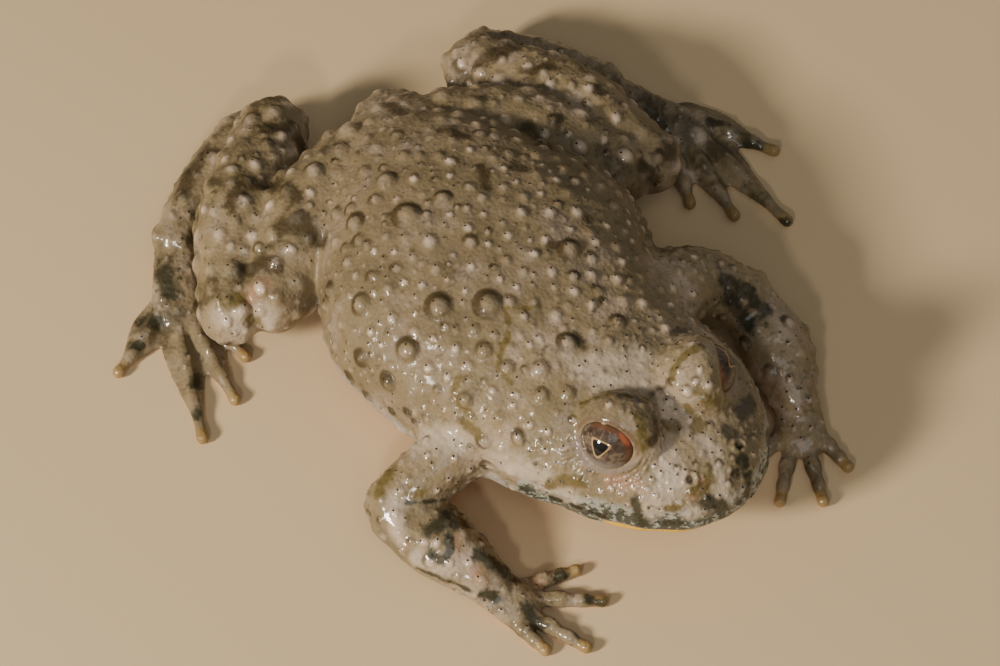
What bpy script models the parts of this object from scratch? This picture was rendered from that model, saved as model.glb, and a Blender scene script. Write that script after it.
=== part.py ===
"""A fire-bellied toad at life size, sitting with its head turned to its left.

Sizes are in millimetres and each mesh is written in metres. The snout points along -Y, the toad's
left is +X and +Z is up. The floor that the belly, hands and feet rest on is Z = 0. Each part of the
body is a solid of its own. A part is cut by a copy of its neighbour grown by GAP, so the two meet
face to face.
"""

import math

import bmesh
import bpy
import numpy as np
from mathutils import Vector
from mathutils.bvhtree import BVHTree

MM = 0.001
GAP = 0.3
SEED = 11

# Spine in plan: x, y and how far the section there is turned to the toad's left, in degrees
SPINE = np.array([
    (5.4, -22.6, 9.0),    # snout
    (3.6, -15.1, 9.0),    # eyes
    (1.0, -8.5, 12.0),    # neck
    (-0.5, 3.0, 3.0),     # ribs
    (-0.5, 14.0, -2.0),   # sacrum
    (1.0, 23.2, -9.0),    # vent
])

# Trunk sections: distance from the snout along the spine, half width, top, underside
TRUNK = np.array([
    (0.0, 0.0, 7.1, 7.1),      # snout tip
    (0.75, 3.0, 8.7, 5.4),     # nose
    (2.3, 5.0, 9.8, 4.3),      # nostrils
    (4.9, 7.0, 10.7, 3.4),     # cheeks
    (7.8, 8.5, 11.5, 2.9),     # eyes
    (10.9, 9.4, 12.2, 2.2),    # corners of the mouth
    (14.1, 9.7, 12.8, 1.3),    # neck
    (17.9, 10.8, 13.5, 0.4),   # shoulders
    (22.5, 12.3, 14.0, -0.2),  # ribs
    (27.5, 13.1, 14.2, -0.2),  # widest flank
    (32.5, 11.4, 13.8, -0.2),  # loins
    (37.5, 8.6, 12.6, 0.2),    # hips
    (42.0, 5.6, 10.4, 1.4),    # rump
    (45.1, 3.2, 8.3, 3.2),     # seat
    (46.9, 0.0, 6.0, 6.0),     # vent
])
SQUARENESS = 2.3               # exponent of the trunk's superellipse sections
WIDEST_HEIGHT = 0.42           # where a section is widest, as a share of its height
NECK_AT = 13.6                 # distance from the snout where head and torso part
TRUNK_SIDES = 28
HEAD_RINGS = 15
TORSO_RINGS = 26
CUTTER_RINGS = 36

# Mouth: the slit runs from the snout back to the corners, and the lower lip stands a little proud
MOUTH_CORNER_AT = 10.9
MOUTH_HEIGHT_FRONT = 5.9
MOUTH_HEIGHT_CORNER = 5.2
LIP = 0.25
JAW_SPACE = 20.0               # size of the block that parts the jaw from the head

# Eyes: distance from the snout, offset from the midline, height and size
EYE_AT = 8.4
EYE_OFFSET = 4.35
EYE_HEIGHT = 10.9
EYE_RADIUS = 2.3
GAZE = (0.35, 0.80, 0.48)      # forward, outward and up
LID_RADII = (3.3, 3.3, 3.0)    # along the head, across and up
LID_INSET = 0.45               # how far the lids' bulge sits nearer the midline than the eye
LID_OPENING = 2.05             # radius of the opening between the lids
LID_CUT = 6.0                  # length of the round cut that opens them
EYE_SIDES = 18
LID_SIDES = 16
BALL_RINGS = 10

# Nostrils: distance from the snout, offset, size, and the way in: backward, to the midline, down
NOSTRIL_AT = 2.6
NOSTRIL_OFFSET = 2.3
NOSTRIL_RADIUS = 0.36
NOSTRIL_DEPTH = 0.9
NOSTRIL_WAY = (0.3, 0.5, 0.6)
NOSTRIL_START = 0.3            # how far outside the skin the cut starts, along that way
NOSTRIL_SIDES = 8
NOSTRIL_PLACES = 181           # places tried over the snout, a degree apart

# Limb lengths of flesh: x, y, z, half width and half height at each point from root to end
LIMBS = {
    "thigh_R": [(-4.0, 17.0, 6.2, 4.2, 4.2), (-9.3, 15.0, 6.2, 4.2, 4.1), (-14.6, 11.4, 5.4, 2.9, 3.0)],
    "shank_R": [(-18.0, 11.9, 4.9, 2.5, 2.6), (-13.6, 18.6, 5.1, 3.5, 3.4), (-7.3, 25.4, 4.3, 2.8, 2.7)],
    "tarsus_R": [(-9.2, 27.2, 3.0, 1.9, 1.9), (-13.7, 25.0, 2.6, 1.8, 1.8), (-17.9, 21.9, 1.9, 1.7, 1.6)],
    "foot_R": [(-17.9, 21.7, 1.6, 1.6, 1.4), (-20.2, 17.2, 1.0, 2.0, 0.95)],
    "thigh_L": [(4.2, 16.3, 6.2, 4.2, 4.2), (8.8, 13.4, 6.2, 4.1, 4.1), (13.4, 8.6, 5.4, 2.9, 3.0)],
    "shank_L": [(16.4, 8.0, 4.9, 2.5, 2.6), (13.4, 15.6, 5.2, 3.6, 3.4), (9.6, 22.6, 4.3, 2.8, 2.7)],
    "tarsus_L": [(11.2, 24.8, 3.1, 1.9, 1.9), (15.0, 22.0, 2.7, 1.8, 1.8), (18.3, 17.8, 2.0, 1.7, 1.6)],
    "foot_L": [(18.4, 17.4, 1.6, 1.6, 1.4), (21.4, 12.2, 1.0, 2.0, 0.95)],
    "upper_arm_R": [(-8.0, -7.4, 6.2, 2.7, 2.8), (-12.0, -8.0, 4.9, 2.4, 2.5), (-15.2, -8.4, 3.6, 2.3, 2.3)],
    "forearm_R": [(-15.2, -9.2, 3.2, 2.4, 2.3), (-13.8, -12.4, 2.8, 2.7, 2.4), (-12.1, -16.2, 1.8, 1.9, 1.6)],
    "hand_R": [(-12.0, -16.6, 1.4, 1.7, 1.2), (-10.9, -18.8, 0.9, 1.9, 0.9)],
    "upper_arm_L": [(8.2, -4.6, 6.8, 3.8, 3.8), (12.4, -4.0, 5.8, 3.3, 3.2), (16.3, -6.0, 4.1, 2.5, 2.4)],
    "forearm_L": [(16.6, -7.2, 3.3, 2.4, 2.3), (16.7, -10.2, 2.7, 2.7, 2.4), (15.9, -14.2, 1.8, 1.9, 1.6)],
    "hand_L": [(15.9, -14.6, 1.4, 1.7, 1.2), (15.0, -16.9, 0.9, 1.9, 0.9)],
}

LIMB_SIDES = 12
LIMB_STEPS = 7
END_ANGLES = np.radians([62.0, 32.0])  # where the two rings of a round end lie on its quarter circle

# Digits: root and tip in plan, from the innermost outwards
FINGERS = {
    "R": [((-9.7, -17.6), (-5.6, -18.3)), ((-9.6, -18.8), (-5.2, -21.5)),
          ((-10.6, -19.6), (-8.2, -24.2)), ((-11.8, -19.3), (-10.9, -22.9))],
    "L": [((13.8, -15.9), (10.0, -17.4)), ((13.8, -17.2), (10.6, -20.8)),
          ((14.8, -17.8), (13.4, -22.4)), ((16.1, -17.3), (16.6, -20.8))],
}
TOES = {
    "R": [((-18.2, 17.9), (-16.4, 14.6)), ((-18.9, 16.7), (-17.9, 10.4)), ((-19.9, 16.0), (-20.4, 7.4)),
          ((-20.9, 16.1), (-24.1, 5.6)), ((-21.7, 17.0), (-26.9, 14.0))],
    "L": [((20.2, 12.8), (17.9, 10.0)), ((20.8, 11.6), (18.9, 5.6)), ((21.8, 11.2), (21.3, 2.9)),
          ((22.8, 11.5), (24.6, 0.4)), ((23.5, 12.4), (27.3, 6.6))],
}
DIGIT_RADIUS = 0.68
DIGIT_TIP_RADIUS = 0.52
DIGIT_SHARES = (0.0, 0.35, 0.7, 1.0)
DIGIT_LIFT = 0.1               # how far a digit's round underside is sunk below the floor
DIGIT_SIDES = 8
DIGIT_STEPS = 3
WEB_HALF_WIDTH = 1.7
WEB_HALF_HEIGHT = 0.27
WEB_SINK = 0.03                # how far a web's underside is sunk below the floor
WEB_WIDTHS = ((0.0, 1.0), (0.3, 0.95), (0.6, 0.6), (0.8, 0.3))  # share of the toe, share of the width
WEB_SIDES = 6
WEB_STEPS = 4

# The neighbours that cut each part of a limb back to leave the gap
CUT_BY = {
    "shank": ("torso",), "thigh": ("shank", "torso"), "tarsus": ("shank", "torso"),
    "foot": ("tarsus", "shank"), "upper_arm": ("torso",), "forearm": ("upper_arm", "torso"),
    "hand": ("forearm",),
}
# Each toe after the fourth, the longest, is cut by the neighbour that comes before it here
TOE_CUT_BY = {4: None, 5: 4, 3: 4, 2: 3, 1: 2}

# The warts of the back that stand out most, seen from above: x, y and radius
BACK_WARTS = [
    # ringed ones
    (-6.9, -0.4, 1.05), (-3.8, -2.3, 1.10), (-5.0, 7.7, 1.10), (-8.2, 10.1, 0.85), (-4.6, 11.5, 0.90),
    (-11.1, 3.8, 0.90), (-10.2, -1.4, 1.00), (3.8, -1.1, 0.90), (-0.3, -7.6, 0.80), (-5.8, -5.1, 0.75),
    (3.9, -7.6, 0.70), (-2.1, 7.4, 0.75), (-5.7, -3.0, 0.55), (-4.9, -7.1, 0.65), (-3.0, -8.6, 0.80),
    (-8.4, -7.1, 0.70), (-4.8, 4.5, 0.85),
    # flank
    (-11.9, 7.2, 0.65), (-12.6, 1.1, 0.75), (-11.9, -1.9, 0.75), (-11.0, 10.6, 0.70),
    # plain ones
    (-8.0, 2.9, 0.50), (-7.0, 1.7, 0.50), (-3.3, 1.1, 0.50), (-9.7, 1.1, 0.60), (-8.4, -2.1, 0.50),
    (-7.4, -3.8, 0.55), (-9.6, -3.6, 0.55), (-8.6, -5.1, 0.55), (-2.0, -0.9, 0.50), (-2.0, -4.5, 0.50),
    (-8.4, 6.6, 0.50), (-1.9, 4.0, 0.55), (2.2, 3.3, 0.70), (4.5, 4.4, 0.50), (4.2, 2.4, 0.70),
    (6.2, 1.7, 0.70), (2.6, 0.6, 0.55), (1.2, -0.6, 0.55), (1.6, -2.4, 0.60), (6.0, -1.2, 0.60),
    (4.2, -3.6, 0.60), (6.1, -4.3, 0.60), (2.2, -4.6, 0.60), (2.9, -6.0, 0.55), (6.6, -6.9, 0.60),
    (6.2, 5.1, 0.55), (2.0, 10.6, 0.50), (0.1, 10.3, 0.60), (-2.9, 10.0, 0.55), (8.3, 0.4, 0.60),
]
# Warts sown on the other parts and between those: how many, smallest and largest radius
SOWN_WARTS = {
    "torso": (26, 0.45, 0.65), "head": (9, 0.35, 0.50),
    "thigh_R": (7, 0.45, 0.80), "thigh_L": (5, 0.45, 0.70), "shank_R": (12, 0.50, 0.85),
    "shank_L": (12, 0.50, 0.85), "tarsus_R": (4, 0.40, 0.55), "tarsus_L": (4, 0.40, 0.55),
    "upper_arm_R": (4, 0.40, 0.55), "upper_arm_L": (6, 0.45, 0.60), "forearm_R": (6, 0.40, 0.70),
    "forearm_L": (6, 0.40, 0.70),
}
WART_RISE = 0.52               # height of a wart above the skin, as a share of its radius
WART_SPREAD = 1.05             # radius of its ball, as a share of its radius at the skin
WART_SINK = 0.30               # depth of its centre under the skin, as a share of its radius
WART_SPACING = 1.35            # least distance between two warts, in sums of their radii
WART_CLEARANCE = 0.45          # least distance from a wart's foot to a neighbouring part
WART_FACES_UP = 0.15           # least upward lean of the skin that carries a sown wart
LARGE_WART = 0.7               # radius above which a wart has one more side
WART_SIDES = 7
WART_RINGS = 4
TRIES_PER_WART = 40
SKY = 40.0                     # height from which a place is projected down onto the skin
DOWN = Vector((0, 0, -1))

# The block under the floor that cuts the feet and belly flat
GROUND_HALF = 60.0
GROUND_DEPTH = 9.0

# Colour and roughness of each kind of part
FINISHES = {
    "eye": ((0.10, 0.06, 0.035), 0.10),
    "jaw": ((0.55, 0.30, 0.06), 0.35),
    "skin": ((0.34, 0.26, 0.17), 0.35),
}
SHARP_EDGE = math.radians(50)


def clear_scene():
    for thing in list(bpy.data.objects):
        bpy.data.objects.remove(thing)


def through(knots, values, at):
    """Cubic Hermite curve through the values, each slope taken from the neighbours."""
    slopes = np.gradient(values, knots, axis=0)
    index = np.clip(np.searchsorted(knots, at) - 1, 0, len(knots) - 2)
    span = knots[index + 1] - knots[index]
    t = (at - knots[index]) / span
    if values.ndim > 1:
        t, span = t[:, None], span[:, None]
    return ((1 + 2 * t) * (1 - t) ** 2 * values[index] + t * (1 - t) ** 2 * span * slopes[index]
            + t * t * (3 - 2 * t) * values[index + 1] + t * t * (t - 1) * span * slopes[index + 1])


def spine_at(distance):
    """Centre in plan and the direction to the toad's left, at distances from the snout."""
    knots = np.concatenate([[0], np.cumsum(np.linalg.norm(np.diff(SPINE[:, :2], axis=0), axis=1))])
    place = through(knots * TRUNK[-1, 0] / knots[-1], SPINE, distance)
    turn = np.radians(place[:, 2])
    return place[:, :2], np.stack([np.cos(turn), np.sin(turn)], axis=1)


def end_spacing(distance):
    """Evens out the round ends: equal steps of this crowd towards the snout and vent."""
    return np.arccos(np.clip(1 - 2 * distance / TRUNK[-1, 0], -1, 1)) / math.pi


def trunk_surface(distance, angle, grow=0.0):
    """Points of the trunk at distances from the snout and angles round it, 0 to the left, 90 up."""
    width, top, under = through(end_spacing(TRUNK[:, 0]), TRUNK[:, 1:], end_spacing(distance)).T
    width, top, under = np.maximum(width, 0) + grow, top + grow, under - grow
    middle = under + WIDEST_HEIGHT * (top - under)
    reach = np.where(np.sin(angle) > 0, top - middle, middle - under)
    power = 2 / SQUARENESS
    across = width * np.sign(np.cos(angle)) * np.abs(np.cos(angle)) ** power
    height = middle + reach * np.sign(np.sin(angle)) * np.abs(np.sin(angle)) ** power
    centre, left = spine_at(distance)
    return np.column_stack([centre + left * across[:, None], height])


def add_object(name, mesh_data):
    mesh = bpy.data.meshes.new(name)
    mesh_data.to_mesh(mesh)
    mesh_data.free()
    made = bpy.data.objects.new(name, mesh)
    bpy.context.scene.collection.objects.link(made)
    return made


def loft(name, rings, poles):
    """A closed skin over rings of points. Each end is a pole, or the flat ring itself where None."""
    shape = bmesh.new()
    rows = [[shape.verts.new(point * MM) for point in ring] for ring in rings]
    for lower, upper in zip(rows, rows[1:]):
        for i in range(len(lower)):
            j = (i + 1) % len(lower)
            shape.faces.new((lower[i], lower[j], upper[j], upper[i]))
    for row, pole in zip((rows[0], rows[-1]), poles):
        if pole is None:
            shape.faces.new(row)
            continue
        tip = shape.verts.new(pole * MM)
        for i in range(len(row)):
            shape.faces.new((row[i], row[(i + 1) % len(row)], tip))
    bmesh.ops.recalc_face_normals(shape, faces=shape.faces)
    return add_object(name, shape)


def trunk_length(name, start, end, rings, grow=0.0):
    """The trunk between two distances from the snout, flat where it stops short of an end."""
    whole = TRUNK[-1, 0]
    shares = np.linspace(end_spacing(start), end_spacing(end), rings)
    distances = (1 - np.cos(shares * math.pi)) / 2 * whole
    angles = np.linspace(0, 2 * math.pi, TRUNK_SIDES, endpoint=False)
    poles = [None, None]
    for place, at in ((0, 0.0), (-1, whole)):
        if distances[place] == at:
            poles[place] = trunk_surface(np.array([at]), np.array([0.0]))[0]
            distances = np.delete(distances, place)
    rows = [trunk_surface(np.full(TRUNK_SIDES, d), angles, grow) for d in distances]
    return loft(name, rows, poles)


def swept(name, points, sides, steps, grow=0.0):
    """A round-ended length of flesh through points of x, y, z, half width and half height."""
    points = np.array(points, float)
    knots = np.concatenate([[0], np.cumsum(np.linalg.norm(np.diff(points[:, :3], axis=0), axis=1))])
    along = through(knots, points, np.linspace(0, knots[-1], steps))
    centres, radii = along[:, :3], along[:, 3:] + grow
    tangents = np.gradient(centres, axis=0)
    tangents = tangents / np.linalg.norm(tangents, axis=1)[:, None]
    before = [centres[0] - tangents[0] * radii[0].max() * math.sin(a) for a in END_ANGLES]
    after = [centres[-1] + tangents[-1] * radii[-1].max() * math.sin(a) for a in END_ANGLES[::-1]]
    centres = np.vstack([before, centres, after])
    radii = np.vstack([[radii[0] * math.cos(a) for a in END_ANGLES], radii,
                       [radii[-1] * math.cos(a) for a in END_ANGLES[::-1]]])
    tangents = np.vstack([tangents[[0, 0]], tangents, tangents[[-1, -1]]])
    sideways = np.cross(tangents, (0, 0, 1))
    sideways = sideways / np.linalg.norm(sideways, axis=1)[:, None]
    upwards = np.cross(sideways, tangents)
    turn = np.linspace(0, 2 * math.pi, sides, endpoint=False)
    rows = [c + np.outer(np.cos(turn), s * r[0]) + np.outer(np.sin(turn), u * r[1])
            for c, s, u, r in zip(centres, sideways, upwards, radii)]
    first = along[0, :3] - tangents[0] * (along[0, 3:].max() + grow)
    last = along[-1, :3] + tangents[-1] * (along[-1, 3:].max() + grow)
    return loft(name, rows, (first, last))


def ball(name, centre, radii, axes, segments, rings):
    """An ellipsoid with its three radii along the three axes given."""
    shape = bmesh.new()
    bmesh.ops.create_uvsphere(shape, u_segments=segments, v_segments=rings, radius=1.0)
    turn = np.array(axes).T * np.array(radii)
    for vertex in shape.verts:
        vertex.co = Vector((turn @ np.array(vertex.co) + np.array(centre)) * MM)
    bmesh.ops.recalc_face_normals(shape, faces=shape.faces)
    return add_object(name, shape)


def box(name, low, high):
    shape = bmesh.new()
    bmesh.ops.create_cube(shape, size=1.0)
    low, high = np.array(low), np.array(high)
    for vertex in shape.verts:
        vertex.co = Vector(((low + high) / 2 + np.array(vertex.co) * (high - low)) * MM)
    return add_object(name, shape)


def fused(target, others, operation):
    """One Boolean with a collection of closed objects, applied, and the collection's objects removed."""
    group = bpy.data.collections.new("tools")
    for thing in others:
        group.objects.link(thing)
    modifier = target.modifiers.new("join", "BOOLEAN")
    modifier.operation = operation
    modifier.solver = "EXACT"
    modifier.operand_type = "COLLECTION"
    modifier.collection = group
    graph = bpy.context.evaluated_depsgraph_get()
    result = bpy.data.meshes.new_from_object(target.evaluated_get(graph))
    target.modifiers.clear()
    target.data = result
    for thing in others:
        bpy.data.objects.remove(thing)
    bpy.data.collections.remove(group)
    keep_largest(target)
    return target


def keep_largest(thing):
    """Keeps the closed surface that encloses most, and drops loose scraps."""
    shape = bmesh.new()
    shape.from_mesh(thing.data)
    bmesh.ops.triangulate(shape, faces=shape.faces)
    left, shells = set(shape.faces), []
    while left:
        shell, edge = set(), [left.pop()]
        while edge:
            face = edge.pop()
            shell.add(face)
            for around in face.edges:
                for other in around.link_faces:
                    if other in left:
                        left.discard(other)
                        edge.append(other)
        shells.append(shell)
    volume = [abs(sum(f.verts[0].co.dot(f.verts[1].co.cross(f.verts[2].co)) for f in s)) for s in shells]
    keep = shells[int(np.argmax(volume))]
    bmesh.ops.delete(shape, geom=[f for s in shells if s is not keep for f in s], context="FACES")
    shape.to_mesh(thing.data)
    shape.free()


def stood_on_floor(thing):
    """Cuts away what is under the floor, which leaves small flats to rest on."""
    ground = box("ground", (-GROUND_HALF, -GROUND_HALF, -GROUND_DEPTH), (GROUND_HALF, GROUND_HALF, 0))
    return fused(thing, [ground], "DIFFERENCE")


def head_axes():
    """Directions in the head: forward, to the toad's left, and up."""
    _, left = spine_at(np.array([EYE_AT]))
    left = np.array([*left[0], 0.0])
    return np.cross(left, (0, 0, 1)), left, np.array([0.0, 0.0, 1.0])


def in_head(at, offset, height):
    """A point at a distance from the snout, off the midline to the left, and at a height."""
    centre, left = spine_at(np.array([at]))
    return np.array([*(centre[0] + left[0] * offset), height])


def gaze(side):
    forward, left, up = head_axes()
    look = GAZE[0] * forward + GAZE[1] * side * left + GAZE[2] * up
    return look / np.linalg.norm(look)


def eye(name, side, grow=0.0):
    centre = in_head(EYE_AT, side * EYE_OFFSET, EYE_HEIGHT)
    return ball(name, centre, (EYE_RADIUS + grow,) * 3, head_axes(), EYE_SIDES, BALL_RINGS)


def round_cut(name, start, direction, radius, length, segments):
    """A cylinder that starts at a point and runs along the direction."""
    shape = bmesh.new()
    bmesh.ops.create_cone(shape, cap_ends=True, segments=segments, radius1=radius * MM,
                          radius2=radius * MM, depth=length * MM)
    turn = Vector(direction).to_track_quat("Z", "Y").to_matrix()
    middle = Vector((np.array(start) + np.array(direction) * length / 2) * MM)
    for vertex in shape.verts:
        vertex.co = turn @ vertex.co + middle
    return add_object(name, shape)


def mouth_box(lower, grow):
    """The space of the lower jaw: all that is under the slit and ahead of the mouth's corners."""
    thing = box("jaw_space", (-JAW_SPACE, -JAW_SPACE, -JAW_SPACE), (JAW_SPACE, 0, 0))
    forward, left, up = head_axes()
    corner = in_head(MOUTH_CORNER_AT, 0.0, MOUTH_HEIGHT_CORNER)
    drop = (MOUTH_HEIGHT_FRONT - MOUTH_HEIGHT_CORNER) / MOUTH_CORNER_AT
    for vertex in thing.data.vertices:
        across, back, rise = np.array(vertex.co) / MM
        ahead = -back + grow * (back == 0) * (1 if lower else -1)
        rise = rise - grow * (rise == 0) * (1 if lower else -1)
        point = corner + left * across + forward * ahead + up * (rise + drop * ahead)
        vertex.co = Vector(point * MM)
    return thing


def make_head():
    head = trunk_length("head", 0.0, NECK_AT - GAP / 2, HEAD_RINGS)
    axes = head_axes()
    lids = [ball("lid", in_head(EYE_AT, side * (EYE_OFFSET - LID_INSET), EYE_HEIGHT), LID_RADII, axes,
                 LID_SIDES, BALL_RINGS) for side in (1, -1)]
    fused(head, lids, "UNION")
    cuts = [mouth_box(False, GAP / 2)]
    forward, left, up = axes
    back_by, inwards_by, down_by = NOSTRIL_WAY
    for side in (1, -1):
        cuts.append(eye("socket", side, GAP))
        cuts.append(round_cut("opening", in_head(EYE_AT, side * EYE_OFFSET, EYE_HEIGHT), gaze(side),
                              LID_OPENING, LID_CUT, LID_SIDES))
        way = -up * down_by - forward * back_by - left * side * inwards_by
        cuts.append(round_cut("nostril", nostril_point(side) - way * NOSTRIL_START,
                              way / np.linalg.norm(way), NOSTRIL_RADIUS, NOSTRIL_DEPTH, NOSTRIL_SIDES))
    return fused(head, cuts, "DIFFERENCE")


def nostril_point(side):
    """Where a nostril opens on the surface of the snout."""
    angles = np.linspace(0, math.pi, NOSTRIL_PLACES)
    ring = trunk_surface(np.full(len(angles), NOSTRIL_AT), angles)
    _, left = spine_at(np.array([NOSTRIL_AT]))
    centre = in_head(NOSTRIL_AT, 0.0, 0.0)
    offset = (ring[:, :2] - centre[:2]) @ left[0]
    return ring[int(np.argmin(np.abs(offset - side * NOSTRIL_OFFSET)))]


def make_lower_jaw():
    jaw = trunk_length("lower_jaw", 0.0, NECK_AT - GAP / 2, HEAD_RINGS, LIP)
    return fused(jaw, [mouth_box(True, GAP / 2)], "INTERSECT")


def digit_path(root, tip):
    """A digit from its root to its tip, with its underside just under the floor."""
    rows = []
    for share in DIGIT_SHARES:
        x, y = root + (tip - root) * share
        radius = DIGIT_RADIUS + (DIGIT_TIP_RADIUS - DIGIT_RADIUS) * share
        rows.append((x, y, radius - DIGIT_LIFT, radius, radius))
    return rows


def make_digit(name, root, tip, webbed, grow=0.0):
    root, tip = np.array(root), np.array(tip)
    digit = swept(name, digit_path(root, tip), DIGIT_SIDES, DIGIT_STEPS, grow)
    if not webbed:
        return digit
    rows = []
    for share, width in WEB_WIDTHS:
        x, y = root + (tip - root) * share
        rows.append((x, y, WEB_HALF_HEIGHT - WEB_SINK, WEB_HALF_WIDTH * width, WEB_HALF_HEIGHT))
    return fused(digit, [swept("web", rows, WEB_SIDES, WEB_STEPS, grow)], "UNION")


def grown(name):
    """A part's plain form grown by the gap, which cuts its neighbours."""
    if name == "torso":
        return trunk_length("cutter", 0.0, TRUNK[-1, 0], CUTTER_RINGS, GAP)
    return swept("cutter", LIMBS[name], LIMB_SIDES, LIMB_STEPS, GAP)


def skin_tree(thing):
    """Tree of a part's faces in millimetres, for projecting onto them and for distances."""
    points = [vertex.co / MM for vertex in thing.data.vertices]
    return BVHTree.FromPolygons(points, [face.vertices for face in thing.data.polygons])


def sown_places(thing, tree, taken, count, sizes, rng):
    """Seeded places on a part's upper skin, spaced from those taken: point, normal and radius."""
    plan = np.array([vertex.co / MM for vertex in thing.data.vertices])[:, :2]
    low, high = plan.min(axis=0), plan.max(axis=0)
    found = []
    for _ in range(count * TRIES_PER_WART):
        x, y = rng.uniform(low, high)
        radius = rng.uniform(*sizes)
        point, normal, _, _ = tree.ray_cast(Vector((x, y, SKY)), DOWN)
        if point is None or normal.z < WART_FACES_UP or len(found) == count:
            continue
        if all((point - other).length > WART_SPACING * (radius + size) for other, _, size in taken + found):
            found.append((point, normal, radius))
    return found


def dome(point, normal, radius):
    """A round wart on the skin, its root sunk in."""
    turn = normal.to_track_quat("Z", "Y").to_matrix()
    centre = point - normal * radius * WART_SINK
    radii = np.array([WART_SPREAD, WART_SPREAD, WART_RISE + WART_SINK]) * radius
    sides = WART_SIDES + 1 if radius > LARGE_WART else WART_SIDES
    return ball("wart", centre, radii, list(turn.col), sides, WART_RINGS)


def add_warts(parts):
    """Raises the warts on the parts, clear of the eyes and of every joint between two parts."""
    trees = {name: skin_tree(thing) for name, thing in parts.items()}
    rng = np.random.default_rng(SEED)
    for name, (count, *sizes) in SOWN_WARTS.items():
        placed = []
        if name == "torso":
            for x, y, radius in BACK_WARTS:
                point, normal, _, _ = trees[name].ray_cast(Vector((x, y, SKY)), DOWN)
                placed.append((point, normal, radius))
        placed += sown_places(parts[name], trees[name], placed, count, sizes, rng)
        others = [tree for other, tree in trees.items() if other != name]
        domes = [dome(*place) for place in placed
                 if min(tree.find_nearest(place[0])[3] for tree in others) > place[2] + WART_CLEARANCE]
        fused(parts[name], domes, "UNION")


def make_limbs(side):
    """The lengths of both limbs of one side, each cut back from its neighbours."""
    made = {}
    for part, neighbours in CUT_BY.items():
        name = f"{part}_{side}"
        length = swept(name, LIMBS[name], LIMB_SIDES, LIMB_STEPS)
        cutters = [grown(other if other == "torso" else f"{other}_{side}") for other in neighbours]
        made[name] = fused(length, cutters, "DIFFERENCE")
    return made


def make_digits(side):
    """Fingers and toes of one side, cut back from the hand or foot and from each other."""
    made = {}
    for number, (root, tip) in enumerate(FINGERS[side], 1):
        name = f"finger_{number}_{side}"
        cutters = [grown(f"hand_{side}")]
        if number > 1:
            cutters.append(make_digit("cutter", *FINGERS[side][number - 2], False, GAP))
        made[name] = fused(make_digit(name, root, tip, False), cutters, "DIFFERENCE")
    for number, nearer in TOE_CUT_BY.items():
        name = f"toe_{number}_{side}"
        cutters = [grown(f"foot_{side}"), grown(f"shank_{side}")]
        if nearer:
            cutters.append(make_digit("cutter", *TOES[side][nearer - 1], True, GAP))
        made[name] = fused(make_digit(name, *TOES[side][number - 1], True), cutters, "DIFFERENCE")
    return made


def make_body():
    parts = {"torso": trunk_length("torso", NECK_AT + GAP / 2, TRUNK[-1, 0], TORSO_RINGS),
             "head": make_head(), "lower_jaw": make_lower_jaw(),
             "eye_L": eye("eye_L", 1), "eye_R": eye("eye_R", -1)}
    for side in ("L", "R"):
        parts.update(make_limbs(side))
        parts.update(make_digits(side))
    for name, thing in parts.items():
        if not name.startswith(("head", "eye")):
            stood_on_floor(thing)
    add_warts(parts)
    return parts


def finish(parts):
    """Materials, smooth shading and one collection for the toad."""
    group = bpy.data.collections.new("fire_bellied_toad")
    bpy.context.scene.collection.children.link(group)
    for name, thing in parts.items():
        kind = "eye" if name.startswith("eye") else "jaw" if name.endswith("jaw") else "skin"
        colour, roughness = FINISHES[kind]
        material = bpy.data.materials.new(name)
        material.use_nodes = True
        surface = material.node_tree.nodes["Principled BSDF"]
        surface.inputs["Base Color"].default_value = (*colour, 1.0)
        surface.inputs["Roughness"].default_value = roughness
        surface.inputs["Metallic"].default_value = 0.0
        thing.data.materials.clear()
        thing.data.materials.append(material)
        thing.data.shade_smooth()
        thing.data.set_sharp_from_angle(angle=SHARP_EDGE)
        bpy.context.scene.collection.objects.unlink(thing)
        group.objects.link(thing)
        thing.name = name


clear_scene()
finish(make_body())
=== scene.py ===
"""The skin, eyes, light, floor and camera of a fire-bellied toad at life size.

Shapes are worked out in millimetres as whole numpy arrays and put into meshes in metres. The snout
points along -Y, the toad's left is +X, +Z is up and the floor is Z = 0. A pick is a pixel of the
1000 x 666 view. It is cast from the camera onto the skin, so a wart or a mark lies on the body.
"""

import math

import bpy
import numpy as np
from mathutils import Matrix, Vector
from mathutils.bvhtree import BVHTree


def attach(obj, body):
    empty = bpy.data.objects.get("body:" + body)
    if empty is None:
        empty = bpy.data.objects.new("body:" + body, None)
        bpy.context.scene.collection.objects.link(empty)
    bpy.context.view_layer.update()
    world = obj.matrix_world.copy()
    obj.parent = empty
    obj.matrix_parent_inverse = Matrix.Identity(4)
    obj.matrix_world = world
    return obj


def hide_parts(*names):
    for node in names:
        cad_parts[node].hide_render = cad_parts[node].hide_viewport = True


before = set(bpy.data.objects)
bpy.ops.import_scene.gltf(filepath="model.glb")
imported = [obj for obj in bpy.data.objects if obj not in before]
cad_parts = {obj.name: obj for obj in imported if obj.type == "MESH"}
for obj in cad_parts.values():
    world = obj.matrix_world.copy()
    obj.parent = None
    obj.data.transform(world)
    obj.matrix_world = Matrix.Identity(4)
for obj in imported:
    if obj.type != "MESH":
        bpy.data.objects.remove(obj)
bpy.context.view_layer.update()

MM = 0.001
SEED = 5
UP = np.array([0.0, 0.0, 1.0])
TAILWARD = np.array([0.0, 1.0, 0.0])

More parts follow.
